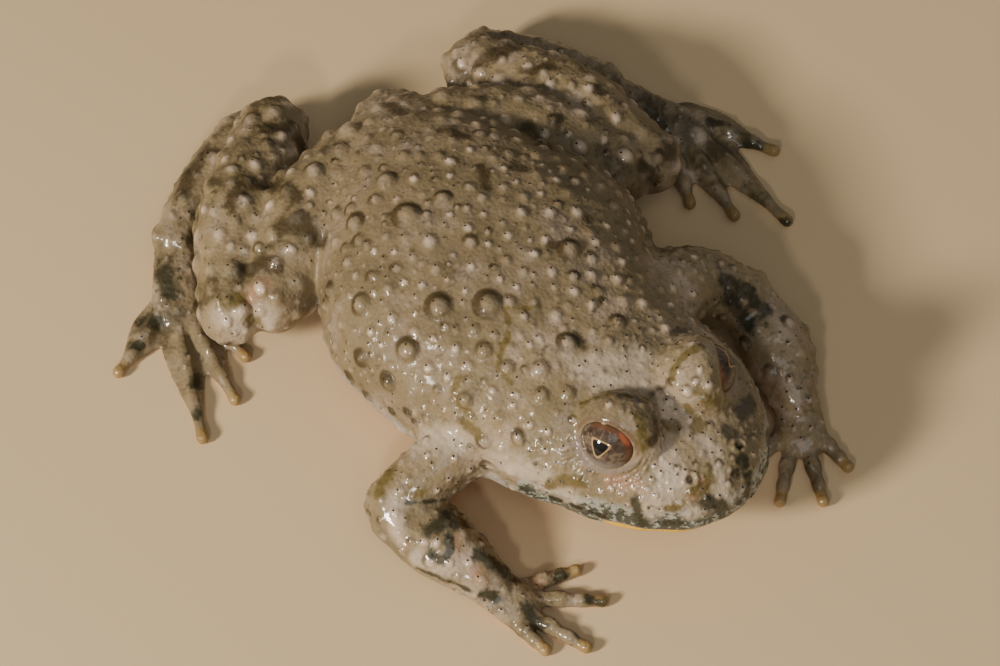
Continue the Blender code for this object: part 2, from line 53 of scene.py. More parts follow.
# Camera: the point it looks at, the way back to it, its distance and its lens on a 36 mm sensor
LOOK_AT = np.array([-1.5, 0.0, 5.0])
CAMERA_AZIMUTH = -30.0
CAMERA_ELEVATION = 57.0
CAMERA_DISTANCE = 300.0
LENS = 143.64
SENSOR = 36.0
VIEW_SIZE = np.array([1000.0, 666.0])
PIXEL = CAMERA_DISTANCE * SENSOR / (LENS * VIEW_SIZE[0])  # one pixel of the view on the toad

# Spine in plan: x, y and how far the section there is turned to the toad's left, in degrees
SPINE = np.array([
    (5.4, -22.6, 9.0),    # snout
    (3.6, -15.1, 9.0),    # eyes
    (1.0, -8.5, 12.0),    # neck
    (-0.5, 3.0, 3.0),     # ribs
    (-0.5, 14.0, -2.0),   # sacrum
    (1.0, 23.2, -9.0),    # vent
])

# Trunk sections: distance from the snout along the spine, half width, top, underside
TRUNK = np.array([
    (0.0, 0.0, 7.1, 7.1),      # snout tip
    (0.75, 3.0, 8.7, 5.4),     # nose
    (2.3, 5.0, 9.8, 4.3),      # nostrils
    (4.9, 7.0, 10.7, 3.4),     # cheeks
    (7.8, 8.5, 11.5, 2.9),     # eyes
    (10.9, 9.4, 12.2, 2.2),    # corners of the mouth
    (14.1, 9.7, 12.8, 1.3),    # neck
    (17.9, 10.8, 13.5, 0.4),   # shoulders
    (22.5, 12.3, 14.0, -0.2),  # ribs
    (27.5, 13.1, 14.2, -0.2),  # widest flank
    (32.5, 11.4, 13.8, -0.2),  # loins
    (37.5, 8.6, 12.6, 0.2),    # hips
    (42.0, 5.6, 10.4, 1.4),    # rump
    (45.1, 3.2, 8.3, 3.2),     # seat
    (46.9, 0.0, 6.0, 6.0),     # vent
])
SQUARENESS = 2.3               # exponent of the trunk's superellipse sections
WIDEST_HEIGHT = 0.42           # where a section is widest, as a share of its height
HEAD_LENGTH = 13.6             # from the snout back to where the region of the head ends
ON_TRUNK = 0.8                 # skin that misses the trunk's surface by less belongs to it

# Mouth: the slit from the snout back to the corners, its depth and the swell of the lips
MOUTH_CORNER_AT = 10.9
MOUTH_HEIGHT_FRONT = 5.9
MOUTH_HEIGHT_CORNER = 5.2
MOUTH_DEPTH = 0.40
MOUTH_HALF_WIDTH = 0.15
MOUTH_FADE = 0.6               # the slit ends softly over this on both sides of the corner
LIP_SWELL = 0.25
LIPS = [(-0.45, 0.8, LIP_SWELL), (0.5, 0.5, 0.12)]  # height over the slit, width and swell of each

# Eyes: distance from the snout, offset from the midline, height and size
EYE_AT = 8.4
EYE_OFFSET = 4.35
EYE_HEIGHT = 10.9
EYE_RADIUS = 2.3
GAZES = {-1: (0.35, 0.80, 0.48), 1: (0.46, 0.80, 0.40)}  # right and left: forward, outward and up
CORNEA_BULGE = 0.10
CORNEA_SPREAD = 38.0           # degrees from the gaze over which the bulge fades
POLE_WELD = 0.001              # closes the poles of an eyeball's grid
LID_RADII = (3.3, 3.3, 3.0)    # half sizes of the bulge that carries the lids: forward, sideways, up
LID_INSET = 0.45               # how much nearer to the midline it stands than the eyeball
# Half angles of the lids' opening along the slit and across it
OPENINGS = {-1: (66.0, 53.0), 1: (62.0, 43.0)}
LID_THICKNESS = 0.30
LID_EDGE = (-0.18, 0.16)       # where the lid's rounded edge starts and ends, from the opening
LID_FLAT = 0.1                 # how far the lid stays at its thickness before it blends
LID_REACH = 5.0                # lids lie within this of the eye's centre
LID_CROWDING = 0.5             # power that crowds the skin in the opening towards its edge
LID_RIM = (0.36, 0.08)         # how far from the edge a rim's colour starts and is full
LID_RIM_INSIDE = 0.1           # how far into the opening that colour reaches, in radians
LOWER_LID = (0.2, -0.3)        # sine of the angle round the gaze where the lower lid starts and is full
LID_SMOOTHINGS = 2
LID_SMOOTHING = 0.4            # how far towards its neighbours' mean each of them moves a point
SKIN_SINK = 0.25               # how far under the eyeball the skin drops inside the opening
LID_FOLD_RISE = 0.05
LID_FOLD_SPACING = 0.42
LID_FOLDS_FROM = 0.30          # how far from the edge the first fold is
LID_FOLDS_IN = (0.2, 0.45)     # where the folds fade in and out, from the edge
LID_FOLDS_OUT = (1.5, 1.0)
EYE_CLEARANCE = (2.9, 3.6)     # from an eye's centre, where sown warts start and the swell is full
LID_BLEND = 1.6                # how far from its edge a lid is back at its full bulge

# Nostrils: distance from the snout, offset from the midline and size of the hole
NOSTRIL_AT = 2.6
NOSTRIL_OFFSET = 2.3
NOSTRIL_RADIUS = 0.30
NOSTRIL_DEPTH = 0.65
NOSTRIL_WALL = (NOSTRIL_RADIUS * 1.1, NOSTRIL_RADIUS * 0.3)  # where its wall starts and ends
NOSTRIL_DARK = (NOSTRIL_RADIUS * 1.1, NOSTRIL_RADIUS * 0.7)  # and where the painted shade inside it does
ABOVE_SNOUT = 20.0             # a height from which the nostrils are cast down onto the snout
NOSTRIL_REACH = 1.0            # how far its rim reaches
NOSTRIL_RIM = (0.14, 0.5, 0.16)       # rise of the rim, its radius and its width
NOSTRIL_RIM_PALE = (0.5, 0.48, 0.15)  # paleness of the rim, its radius and its width

# Limb lengths of flesh: x, y, z, half width and half height at each station from root to end
LIMBS = {
    "thigh_R": [(-4.0, 17.0, 6.2, 4.2, 4.2), (-9.3, 15.0, 6.2, 4.2, 4.1), (-14.6, 11.4, 5.4, 2.9, 3.0)],
    "shank_R": [(-18.0, 11.9, 4.9, 2.5, 2.6), (-13.6, 18.6, 5.1, 3.5, 3.4), (-7.3, 25.4, 4.3, 2.8, 2.7)],
    "tarsus_R": [(-9.2, 27.2, 3.0, 1.9, 1.9), (-13.7, 25.0, 2.6, 1.8, 1.8), (-17.9, 21.9, 1.9, 1.7, 1.6)],
    "foot_R": [(-17.9, 21.7, 1.6, 1.6, 1.4), (-20.2, 17.2, 1.0, 2.0, 0.95)],
    "thigh_L": [(4.2, 16.3, 6.2, 4.2, 4.2), (8.8, 13.4, 6.2, 4.1, 4.1), (13.4, 8.6, 5.4, 2.9, 3.0)],
    "shank_L": [(16.4, 8.0, 4.9, 2.5, 2.6), (13.4, 15.6, 5.2, 3.6, 3.4), (9.6, 22.6, 4.3, 2.8, 2.7)],
    "tarsus_L": [(11.2, 24.8, 3.1, 1.9, 1.9), (15.0, 22.0, 2.7, 1.8, 1.8), (18.3, 17.8, 2.0, 1.7, 1.6)],
    "foot_L": [(18.4, 17.4, 1.6, 1.6, 1.4), (21.4, 12.2, 1.0, 2.0, 0.95)],
    "upper_arm_R": [(-8.0, -7.4, 6.2, 2.7, 2.8), (-12.0, -8.0, 4.9, 2.4, 2.5), (-15.2, -8.4, 3.6, 2.3, 2.3)],
    "forearm_R": [(-15.2, -9.2, 3.2, 2.4, 2.3), (-13.8, -12.4, 2.8, 2.7, 2.4), (-12.1, -16.2, 1.8, 1.9, 1.6)],
    "hand_R": [(-12.0, -16.6, 1.4, 1.7, 1.2), (-10.9, -18.8, 0.9, 1.9, 0.9)],
    "upper_arm_L": [(8.2, -4.6, 6.8, 3.8, 3.8), (12.4, -4.0, 5.8, 3.3, 3.2), (16.3, -6.0, 4.1, 2.5, 2.4)],
    "forearm_L": [(16.6, -7.2, 3.3, 2.4, 2.3), (16.7, -10.2, 2.7, 2.7, 2.4), (15.9, -14.2, 1.8, 1.9, 1.6)],
    "hand_L": [(15.9, -14.6, 1.4, 1.7, 1.2), (15.0, -16.9, 0.9, 1.9, 0.9)],
}

# Digits: root and tip in plan, from the innermost outwards
FINGERS = {
    "R": [((-9.7, -17.6), (-5.6, -18.3)), ((-9.6, -18.8), (-5.2, -21.5)),
          ((-10.6, -19.6), (-8.2, -24.2)), ((-11.8, -19.3), (-10.9, -22.9))],
    "L": [((13.8, -15.9), (10.0, -17.4)), ((13.8, -17.2), (10.6, -20.8)),
          ((14.8, -17.8), (13.4, -22.4)), ((16.1, -17.3), (16.6, -20.8))],
}
TOES = {
    "R": [((-18.2, 17.9), (-16.4, 14.6)), ((-18.9, 16.7), (-17.9, 10.4)), ((-19.9, 16.0), (-20.4, 7.4)),
          ((-20.9, 16.1), (-24.1, 5.6)), ((-21.7, 17.0), (-26.9, 14.0))],
    "L": [((20.2, 12.8), (17.9, 10.0)), ((20.8, 11.6), (18.9, 5.6)), ((21.8, 11.2), (21.3, 2.9)),
          ((22.8, 11.5), (24.6, 0.4)), ((23.5, 12.4), (27.3, 6.6))],
}
# Share of a digit's length and its radius there: it swells at the knuckles and at the tip
DIGIT = [(0.0, 0.70), (0.2, 0.60), (0.4, 0.68), (0.58, 0.52), (0.72, 0.60), (0.87, 0.44), (1.0, 0.53)]
DIGIT_LIFT = 0.1
DIGIT_RADIUS = 0.6             # mean radius of a digit, and the height of its middle
DIGIT_HEIGHT = 0.5
WEB_HALF_WIDTH = 1.7
WEB_HALF_HEIGHT = 0.25
WEB_LIFT = 0.05                # height of its underside over the floor
# Share of a toe's length and share of the web's half width there
WEB = [(-0.1, 0.9), (0.3, 0.95), (0.6, 0.6), (0.8, 0.3)]
DIGIT_COLUMNS = 24             # points round a digit or a web

# Making of the skin
VOXEL = 0.145
SMOOTHINGS = 5
SMOOTHING = 0.5                # how far towards its neighbours' mean each of them moves a point
CREASE_FILLS = 70
CREASE_FILL = 0.9              # the same for each filling of the creases
OPEN_FILL = 0.12               # share of the filling away from the folds listed below
FOLD_FADE = (1.0, 0.5)         # shares of a fold's reach where its filling starts and is full
NORMALS_EVERY = 10             # fillings from one working out of the normals to the next
TANGENT_STEP = 0.01            # share of a tube's length over which its direction is measured
TRUNK_SAMPLES = 95             # sections of the trunk by which a point is placed on it
LEAST_SECTION = 0.3            # least half width and height that they count with
LIMB_SAMPLES = 9               # points of a limb's middle by which its region is told
DIGIT_SAMPLES = 8
SKIN_TRIANGLES = 198000
THIN_EVENNESS = 0.004

# Folds of skin where a limb leaves the body: x, y, z and how far the fold is filled out
FILLED_FOLDS = [
    (-9.5, -7.4, 6.0, 4.5), (9.5, -4.4, 6.5, 5.0),       # shoulders
    (-8.0, 13.0, 6.0, 3.5), (7.5, 12.0, 6.0, 3.5),       # groins
    (-12.0, -16.4, 1.6, 3.0), (15.9, -14.4, 1.6, 3.0),   # wrists
    (-10.4, -18.9, 0.9, 2.6), (14.6, -16.9, 0.9, 2.6),   # palms
    (-19.9, 16.9, 1.0, 3.2), (21.4, 12.0, 1.0, 3.2),     # soles
]

# Warts read from the view: pixel, radius in pixels and how dark the ringed ones' ring is
RINGED_WARTS = [
    (439, 307, 14, 1.0), (489, 304, 15, 1.0), (407, 215, 15, 0.9), (355, 222, 11, 1.0),
    (387, 181, 12, 0.6), (361, 304, 12, 0.8), (407, 350, 13, 0.9), (570, 250, 12, 0.9),
    (568, 343, 11, 0.9), (484, 351, 10, 0.6), (618, 322, 9, 0.8), (443, 198, 10, 0.7), (474, 330, 8, 0.3),
    (507, 368, 9, 0.5), (541, 370, 11, 0.35), (542, 395, 9, 0.35), (568, 393, 9, 0.35),
    (466, 400, 9, 0.5),
]
FLANK_WARTS = [
    (330, 290, 9), (361, 358, 10), (388, 382, 10), (350, 378, 7), (368, 396, 7), (392, 412, 6),
    (408, 413, 6), (416, 422, 5),
]
PALE_WARTS = [
    (430, 242, 11), (404, 282, 6), (422, 285, 6), (447, 280, 4), (471, 266, 6), (393, 319, 8),
    (371, 332, 7), (381, 345, 5), (433, 339, 6), (456, 349, 7), (428, 368, 7), (447, 377, 7),
    (415, 313, 4), (465, 291, 5), (500, 279, 6), (516, 287, 5), (524, 317, 6), (374, 251, 6),
    (394, 252, 5), (468, 229, 7), (484, 214, 6), (488, 244, 6), (450, 215, 6), (508, 236, 7),
    (521, 213, 9), (541, 193, 6), (550, 213, 9), (577, 212, 9), (571, 229, 5), (545, 240, 7),
    (534, 254, 7), (552, 272, 8), (595, 243, 7), (607, 226, 6), (592, 275, 8), (617, 279, 8),
    (574, 292, 8), (592, 305, 7), (622, 262, 6), (628, 223, 6), (632, 241, 5), (643, 303, 8),
    (670, 305, 6), (665, 329, 8), (691, 320, 6), (672, 289, 8), (692, 294, 6), (694, 257, 6),
    (588, 189, 4), (556, 180, 7), (516, 182, 5), (542, 165, 4), (504, 168, 6), (470, 150, 6),
    (450, 176, 6), (450, 162, 8), (414, 180, 7), (513, 405, 6), (424, 408, 4), (444, 410, 4),
    (530, 345, 6), (530, 425, 6), (548, 432, 6), (546, 451, 5), (282, 136, 9), (242, 200, 11),
    (270, 205, 10), (255, 165, 10), (252, 237, 9), (205, 210, 9), (225, 160, 9), (260, 288, 11),
    (242, 310, 11), (227, 322, 8), (275, 262, 9), (291, 172, 9), (219, 234, 10), (310, 192, 8),
    (291, 249, 8), (232, 140, 8), (498, 81, 13), (582, 113, 11), (616, 118, 9), (544, 134, 9),
    (580, 147, 11), (625, 156, 12), (462, 63, 9), (528, 65, 8), (550, 84, 9), (589, 88, 9), (470, 84, 7),
    (604, 139, 7), (395, 513, 6), (424, 542, 7), (437, 543, 7), (450, 563, 6), (470, 562, 6),
    (455, 458, 5), (427, 455, 5), (470, 470, 5), (437, 490, 5), (655, 466, 4), (661, 473, 4),
    (652, 479, 4), (647, 489, 5), (656, 495, 4), (641, 499, 4), (634, 488, 4), (622, 494, 4),
    (612, 489, 4), (628, 504, 4), (600, 492, 4), (588, 497, 4), (572, 491, 4), (687, 391, 8),
    (709, 385, 7), (700, 369, 5), (705, 398, 5), (609, 405, 6), (604, 424, 4),
]

# Marks read from the view: half width in pixels and the pixels along each stroke
MARKS = {
    "olive": [
        (2.8, [(505, 310), (509, 322), (507, 340), (500, 355), (499, 368), (506, 378), (512, 384)]),
        (2.5, [(508, 308), (525, 309), (540, 306)]),
        (4, [(458, 378), (455, 392), (462, 406), (472, 415)]), (6, [(468, 425), (478, 434)]),
        (5, [(583, 404), (600, 396), (625, 395)]), (6, [(640, 415), (642, 432), (645, 447)]),
        (4, [(671, 382), (676, 366), (688, 352), (702, 346)]), (5, [(697, 390), (708, 400), (718, 402)]),
        (6, [(667, 426), (677, 426)]), (7, [(696, 429), (698, 424)]), (4, [(687, 406), (691, 412)]),
        (6, [(550, 485), (565, 480), (580, 482)]), (5, [(707, 468), (711, 480), (703, 490), (693, 490)]),
        (4, [(668, 508), (678, 508)]), (6, [(392, 470), (384, 482), (379, 494)]),
        (4, [(412, 490), (424, 495)]), (8, [(225, 305), (240, 300)]), (6, [(250, 322), (260, 322)]),
    ],
    "dark": [
        (6, [(740, 458), (744, 466)]), (4, [(733, 474), (737, 476)]), (7, [(748, 476), (748, 492)]),
        (9, [(704, 502), (712, 506), (722, 508)]), (4, [(552, 498), (559, 501)]),
        (4, [(571, 505), (580, 507)]), (4, [(592, 512), (602, 515)]),
        (6, [(634, 500), (638, 514), (642, 522)]), (5, [(668, 522), (682, 522)]),
        (4, [(520, 488), (526, 490)]), (3, [(405, 503), (425, 502), (444, 500)]),
        (8, [(447, 515), (438, 525), (428, 531)]), (7, [(445, 524), (464, 522)]),
        (5, [(448, 535), (451, 550), (442, 561), (430, 553)]), (3, [(418, 568), (440, 577), (470, 590)]),
        (8, [(480, 555), (497, 568), (515, 578)]), (6, [(485, 594), (497, 598)]),
        (7, [(528, 608), (540, 626)]), (8, [(563, 576)]), (6, [(588, 599), (600, 603)]),
        (13, [(162, 272), (170, 290)]), (9, [(148, 318), (154, 322)]), (8, [(130, 346), (138, 345)]),
        (8, [(196, 380), (198, 386)]), (7, [(196, 412)]), (7, [(710, 121), (720, 122)]),
        (7, [(746, 146), (756, 147)]), (6, [(781, 223), (786, 224)]),
        (9, [(725, 280), (745, 290), (765, 310)]), (9, [(730, 300), (750, 325)]),
    ],
    "brown": [
        (5, [(622, 394), (640, 401), (653, 415), (657, 430), (652, 444)]), (4, [(643, 400), (652, 394)]),
        (4, [(660, 388), (668, 382)]), (7, [(728, 430), (732, 434)]), (8, [(740, 414), (752, 402)]),
        (11, [(268, 128), (290, 127), (300, 143)]),
        (10, [(231, 203), (240, 188), (255, 184), (272, 185), (296, 198)]),
        (11, [(203, 150), (192, 168), (182, 192)]), (13, [(284, 225), (302, 224), (318, 240)]),
        (10, [(247, 270), (262, 262), (276, 268)]), (10, [(480, 62), (500, 52), (522, 47)]),
        (9, [(535, 72), (549, 66)]), (11, [(528, 130), (545, 145)]), (7, [(555, 122), (560, 118)]),
        (9, [(600, 90)]), (12, [(650, 100), (660, 125), (668, 155)]), (8, [(640, 165), (655, 178)]),
        (8, [(390, 105), (402, 112)]), (6, [(440, 130), (465, 135)]), (6, [(482, 165), (487, 186)]),
        (7, [(515, 166), (524, 170)]), (6, [(590, 218), (596, 218)]), (5, [(550, 245), (556, 245)]),
        (6, [(575, 335), (582, 346)]), (5, [(672, 335), (681, 330)]),
    ],
    "pale": [
        (15, [(585, 368), (612, 362), (640, 360)]), (14, [(600, 382), (640, 380)]),
        (10, [(665, 410), (700, 440), (715, 450)]), (14, [(420, 440), (450, 440)]),
        (9, [(395, 500), (400, 540)]), (13, [(420, 560), (450, 566), (470, 556)]),
        # The two dots on the left foot are its pale skin and also painted light over the body's shade
        (15, [(658, 450), (668, 480), (648, 508)]), (9, [(700, 135)]), (9, [(690, 175)]),
        (10, [(715, 470), (725, 500), (690, 515)]), (14, [(505, 465), (530, 470), (570, 500)]),
        # The knee's stroke is partly its pale skin and partly a painted highlight for its wet glints
        (16, [(228, 318), (245, 330), (268, 318)]),
    ],
    "orange": [
        (10, [(248, 300), (262, 285)]), (10, [(455, 545), (478, 575)]), (8, [(395, 525), (405, 545)]),
        (7, [(540, 585)]), (8, [(610, 480), (640, 485)]), (6, [(693, 495), (705, 480)]),
        (6, [(545, 642), (550, 648)]), (6, [(200, 437), (206, 437)]),
    ],
}

# Sown warts of each region: smallest and largest radius and the least spacing, in sums of radii
SOWING = {
    "head": (0.15, 0.38, 1.15),
    "back": (0.22, 0.68, 1.08),
    "thigh": (0.28, 0.95, 1.10),
    "shank": (0.28, 1.00, 1.10),
    "tarsus": (0.22, 0.65, 1.15),
    "foot": (0.18, 0.36, 1.25),
    "upper_arm": (0.20, 0.52, 1.20),
    "forearm": (0.20, 0.66, 1.20),
    "hand": (0.16, 0.32, 1.30),
}
SOWN_LOWEST = 1.1              # sown warts keep this far over the floor
SOWN_SLOPE = -0.25             # and off skin whose normal points down by more than this
LIP_CLEARANCE = 0.7            # and this far over the mouth's slit
# How far dark blotches cover each region: they start where this and a noise add up to 1.08
BLOTCHED = {"back": 0.28, "head": 0.36, "thigh": 0.52, "shank": 0.57, "tarsus": 0.60, "foot": 0.60,
            "upper_arm": 0.46, "forearm": 0.46, "hand": 0.56}
REGION_SMOOTHINGS = 12         # rounds that soften the borders between regions
FILMED = ["head", "upper_arm", "forearm", "hand", "tarsus", "foot"]  # regions under a thick water film
FILM_THERE = 0.6               # how thick it is there, where 1 is the film on a pale crown
FILM_CROWN = 0.5               # paleness of a crown from which its film is 1
# Where areas of colour start and are full. Of these the underside goes by the normal's upward part,
# the flank by the share of the way up the side, and the rest by the distance from the snout
BELLY = (-0.25, -0.70)
LOWER_FLANK = (0.55, 0.28)
JAW = (15.5, 13.0)
LIP = (7.5, 6.0)
# Distances from the snout over which the back turns darker
DARKER_BACK = (14, 21)
JAW_BELOW_SLIT = (-3.4, -1.5)  # depths below the slit where the side of the jaw starts and is full
LIP_BELOW_SLIT = (0.45, 0.35)  # middle and width of the yellow of the lip
TIP_REACH = 1.3                # how far the ochre of a digit's tip reaches back
TIP_HEIGHT = 0.4               # height of the tips, and how far round them it is full
SOWN_TRIES = 16000
HEAD_TRIES = 3.0               # how many more tries the head gets for its area
SPACING_SPREAD = (0.75, 1.6)   # the least spacing is multiplied by a random number between these
SMALL_BIAS = 1.7               # how much the sown sizes crowd towards the smallest
SOWN, RINGED, PALE, FLANK = range(4)
# For each kind of wart: its crown's least and greatest paleness and reach, where its ring starts,
# its least and greatest rise as a share of its radius, and the power of its dome
WART_LOOKS = np.array([
    (0.12, 0.64, 1.10, 0.30, 0.22, 0.44, 1.5),
    (0.20, 0.40, 0.80, 0.38, 0.42, 0.52, 1.2),
    (0.75, 1.00, 1.05, 0.30, 0.34, 0.46, 1.4),
    (0.20, 0.30, 0.50, -0.10, 0.40, 0.50, 1.5),
])
WART_STRETCH = 1.35            # greatest length of a wart over its width
WART_TILT = 0.8                # how far its long side may turn from tailwards, in radians
WART_REACH = 1.5               # how far its skin is worked, in its radii
WART_FACING = 0.2              # least cosine between that skin's normal and the wart's
COLOUR_REACH = 1.8             # how far it colours the skin
PORE_REACH = 1.1               # how far the skin reads the offset to its pore
NO_WART = (9.0, 9.0, 1.0)      # offset in radii, and radius, that skin off every wart reads
CROWN_FULL = 0.15              # where its crown is palest
RING_WIDTH = 0.35              # width of its ring's inner side
RING_OUT = (1.35, 0.95)        # where its ring starts and is full, from outside
RING_DARKNESS = (0.66, 0.34)   # darkness of a ring, and what its tailward side adds
PORED_SHARE = 0.50             # share of the sown warts that have a pore
PORED_RADIUS = 0.21            # the smallest that may have one
HALF_RINGED_SHARE = 0.40       # and of the larger ones that have a faint ring
HALF_RINGED_RADIUS = 0.28      # the smallest of those
HALF_RING = (0.3, 0.8)         # least and greatest darkness of a faint ring
SWELL_RISE = 0.07              # unevenness of the skin under the warts
SWELL_LENGTHS = (1.6, 4.0)     # shortest and longest wave of it
SWELL_FROM = (0.6, 2.0)        # heights over the floor where it starts and is full
FINE_SLOPE = (-0.5, 0.2)       # upward part of the normal where finer triangles start and are finest
FINE_HEIGHT = (0.0, 0.6)       # and heights over the floor


def eased(low, high, value):
    """0 below low, 1 above high and a smooth cubic step between."""
    share = np.clip((value - low) / (high - low), 0, 1)
    return share * share * (3 - 2 * share)


def unit(vectors):
    """Vectors divided by their lengths."""
    return vectors / np.maximum(np.linalg.norm(vectors, axis=-1, keepdims=True), 1e-9)


def lengths(points):
    """Distance along a line of points, from its first to each of them."""
    return np.concatenate([[0.0], np.cumsum(np.linalg.norm(np.diff(points, axis=0), axis=1))])


def through(knots, values, at):
    """Cubic Hermite curve through the values, each slope taken from the neighbours."""
    slopes = np.gradient(values, knots, axis=0)
    index = np.clip(np.searchsorted(knots, at) - 1, 0, len(knots) - 2)
    span = knots[index + 1] - knots[index]
    t = (at - knots[index]) / span
    if values.ndim > 1:
        t, span = t[:, None], span[:, None]
    return ((1 + 2 * t) * (1 - t) ** 2 * values[index] + t * (1 - t) ** 2 * span * slopes[index]
            + t * t * (3 - 2 * t) * values[index + 1] + t * t * (t - 1) * span * slopes[index + 1])


def spine_at(distance):
    """Centre in plan and the direction to the toad's left, at distances from the snout."""
    knots = lengths(SPINE[:, :2])
    place = through(knots * TRUNK[-1, 0] / knots[-1], SPINE, distance)
    turn = np.radians(place[:, 2])
    return place[:, :2], np.stack([np.cos(turn), np.sin(turn)], axis=1)


def end_spacing(distance):
    """Evens out the round ends: equal steps of this crowd towards the snout and vent."""
    return np.arccos(np.clip(1 - 2 * distance / TRUNK[-1, 0], -1, 1)) / math.pi


def trunk_section(distance):
    """Half width, top and underside of the trunk at distances from the snout."""
    return through(end_spacing(TRUNK[:, 0]), TRUNK[:, 1:], end_spacing(distance)).T


def trunk_surface(distance, angle):
    """The trunk's skin: a superellipse section at each distance, round through each angle."""
    width, top, under = trunk_section(distance)
    width = np.maximum(width, 0)
    middle = under + WIDEST_HEIGHT * (top - under)
    reach = np.where(np.sin(angle) > 0, top - middle, middle - under)
    power = 2 / SQUARENESS
    across = width * np.sign(np.cos(angle)) * np.abs(np.cos(angle)) ** power
    height = middle + reach * np.sign(np.sin(angle)) * np.abs(np.sin(angle)) ** power
    centre, left = spine_at(distance)
    return np.column_stack([centre + left * across[:, None], height])


def grid_angles(rows, columns):
    """Half a turn down the rows of a grid and a whole turn along its columns."""
    return np.meshgrid(np.linspace(0, math.pi, rows), np.linspace(0, 2 * math.pi, columns, False),
                       indexing="ij")


def grid_faces(rows, columns):
    """Quads between neighbouring rows of a grid of points that closes round its columns."""
    index = np.arange(rows * columns).reshape(rows, columns)
    beside = np.roll(index, -1, axis=1)
    return np.stack([index[:-1], beside[:-1], beside[1:], index[1:]], axis=-1).reshape(-1, 4)


def trunk(rows=160, columns=120):
    """Trunk and head as a grid of distance from the snout by angle round the section."""
    share, angle = grid_angles(rows, columns)
    distance = (1 - np.cos(share.ravel())) / 2 * TRUNK[-1, 0]
    return trunk_surface(distance, angle.ravel()), grid_faces(rows, columns)


def tube(stations, columns=40, rows=24, cap_rows=12):
    """A round-ended tube through stations of x, y, z, half width and half height.

    Its middle follows the smooth curve through the stations. Past each end it runs on by the radius
    there, shrinking as the root of one minus the square of the share overrun.
    """
    stations = np.array(stations, float)
    knots = lengths(stations[:, :3])
    caps = stations[[0, -1], 3:].max(axis=1)
    quarter = np.linspace(0, math.pi / 2, cap_rows)
    along = np.concatenate([-caps[0] * np.cos(quarter), np.linspace(0, knots[-1], rows)[1:-1],
                            knots[-1] + caps[1] * np.sin(quarter)])
    inside = np.clip(along, 0, knots[-1])
    overrun = along - inside
    shrink = np.sqrt(np.clip(1 - (overrun / np.where(overrun < 0, caps[0], caps[1])) ** 2, 0, 1))
    row = through(knots, stations, inside)
    step = TANGENT_STEP * knots[-1]
    tangent = unit(through(knots, stations[:, :3], np.clip(inside + step, 0, knots[-1]))
                   - through(knots, stations[:, :3], np.clip(inside - step, 0, knots[-1])))
    sideways = unit(np.cross(tangent, UP))
    upwards = np.cross(sideways, tangent)
    turn = np.linspace(0, 2 * math.pi, columns, False)[None, :, None]
    middle = row[:, :3] + tangent * overrun[:, None]
    points = (middle[:, None] + sideways[:, None] * np.cos(turn) * (row[:, 3] * shrink)[:, None, None]
              + upwards[:, None] * np.sin(turn) * (row[:, 4] * shrink)[:, None, None])
    return points.reshape(-1, 3), grid_faces(len(along), columns)


def ball_grid(rows, columns):
    """Angle from a ball's last axis at each point of its grid, and the unit vectors to the points."""
    polar, turn = grid_angles(rows, columns)
    ways = np.stack([np.sin(polar) * np.cos(turn), np.sin(polar) * np.sin(turn), np.cos(polar)], axis=-1)
    return polar.ravel(), ways.reshape(-1, 3)


def ball(centre, radii, axes, rows=40, columns=60):
    """An ellipsoid as a grid of angle from its last axis by angle round it."""
    _, ways = ball_grid(rows, columns)
    return centre + (ways * np.array(radii)) @ np.array(axes), grid_faces(rows, columns)


def head_axes():
    """Directions in the head: forward, to the toad's left, and up."""
    _, left = spine_at(np.array([EYE_AT]))
    left = np.array([*left[0], 0.0])
    return np.cross(left, UP), left, UP


def in_head(at, offset, height):
    """A point at a distance from the snout, off the midline to the left, and at a height."""
    centre, left = spine_at(np.array([at]))
    return np.array([*(centre[0] + left[0] * offset), height])


def eye_centre(side):
    """The middle of an eyeball. The side is 1 for the toad's left and -1 for its right."""
    return in_head(EYE_AT, side * EYE_OFFSET, EYE_HEIGHT)


def gaze_axes(side):
    """Directions at an eye: along the slit between the lids, across it, and the way it looks."""
    forward, left, up = head_axes()
    ahead, outwards, upwards = GAZES[side]
    look = unit(ahead * forward + outwards * side * left + upwards * up)
    across = unit(UP - look * look[2])
    return np.cross(across, look), across, look


def digit(root, tip):
    """Stations of a digit from root to tip, its underside just under the floor."""
    root, tip = np.array(root), np.array(tip)
    return [(*(root + (tip - root) * share), radius - DIGIT_LIFT, radius, radius)
            for share, radius in DIGIT]


def web(root, tip):
    """Stations of the skin on both sides of a toe, narrowing to where it ends on the toe."""
    root, tip = np.array(root), np.array(tip)
    return [(*(root + (tip - root) * share), WEB_HALF_HEIGHT + WEB_LIFT, WEB_HALF_WIDTH * width,
             WEB_HALF_HEIGHT) for share, width in WEB]


def body_pieces():
    """Every length of flesh before they are fused, as points and quads."""
    pieces = [trunk()]
    pieces += [tube(stations) for stations in LIMBS.values()]
    for side in ("R", "L"):
        pieces += [tube(digit(*ends), DIGIT_COLUMNS) for ends in FINGERS[side] + TOES[side]]
        pieces += [tube(web(*ends), DIGIT_COLUMNS) for ends in TOES[side]]
    for side in (1, -1):
        centre = in_head(EYE_AT, side * (EYE_OFFSET - LID_INSET), EYE_HEIGHT)
        pieces.append(ball(centre, LID_RADII, head_axes()))
    return pieces


def put_mesh(name, points, faces, scale=MM):
    """A mesh object at the origin from points and faces, smooth shaded."""
    mesh = bpy.data.meshes.new(name)
    mesh.from_pydata((np.asarray(points) * scale).tolist(), [], np.asarray(faces).tolist())
    mesh.shade_smooth()
    made = bpy.data.objects.new(name, mesh)
    bpy.context.scene.collection.objects.link(made)
    return made


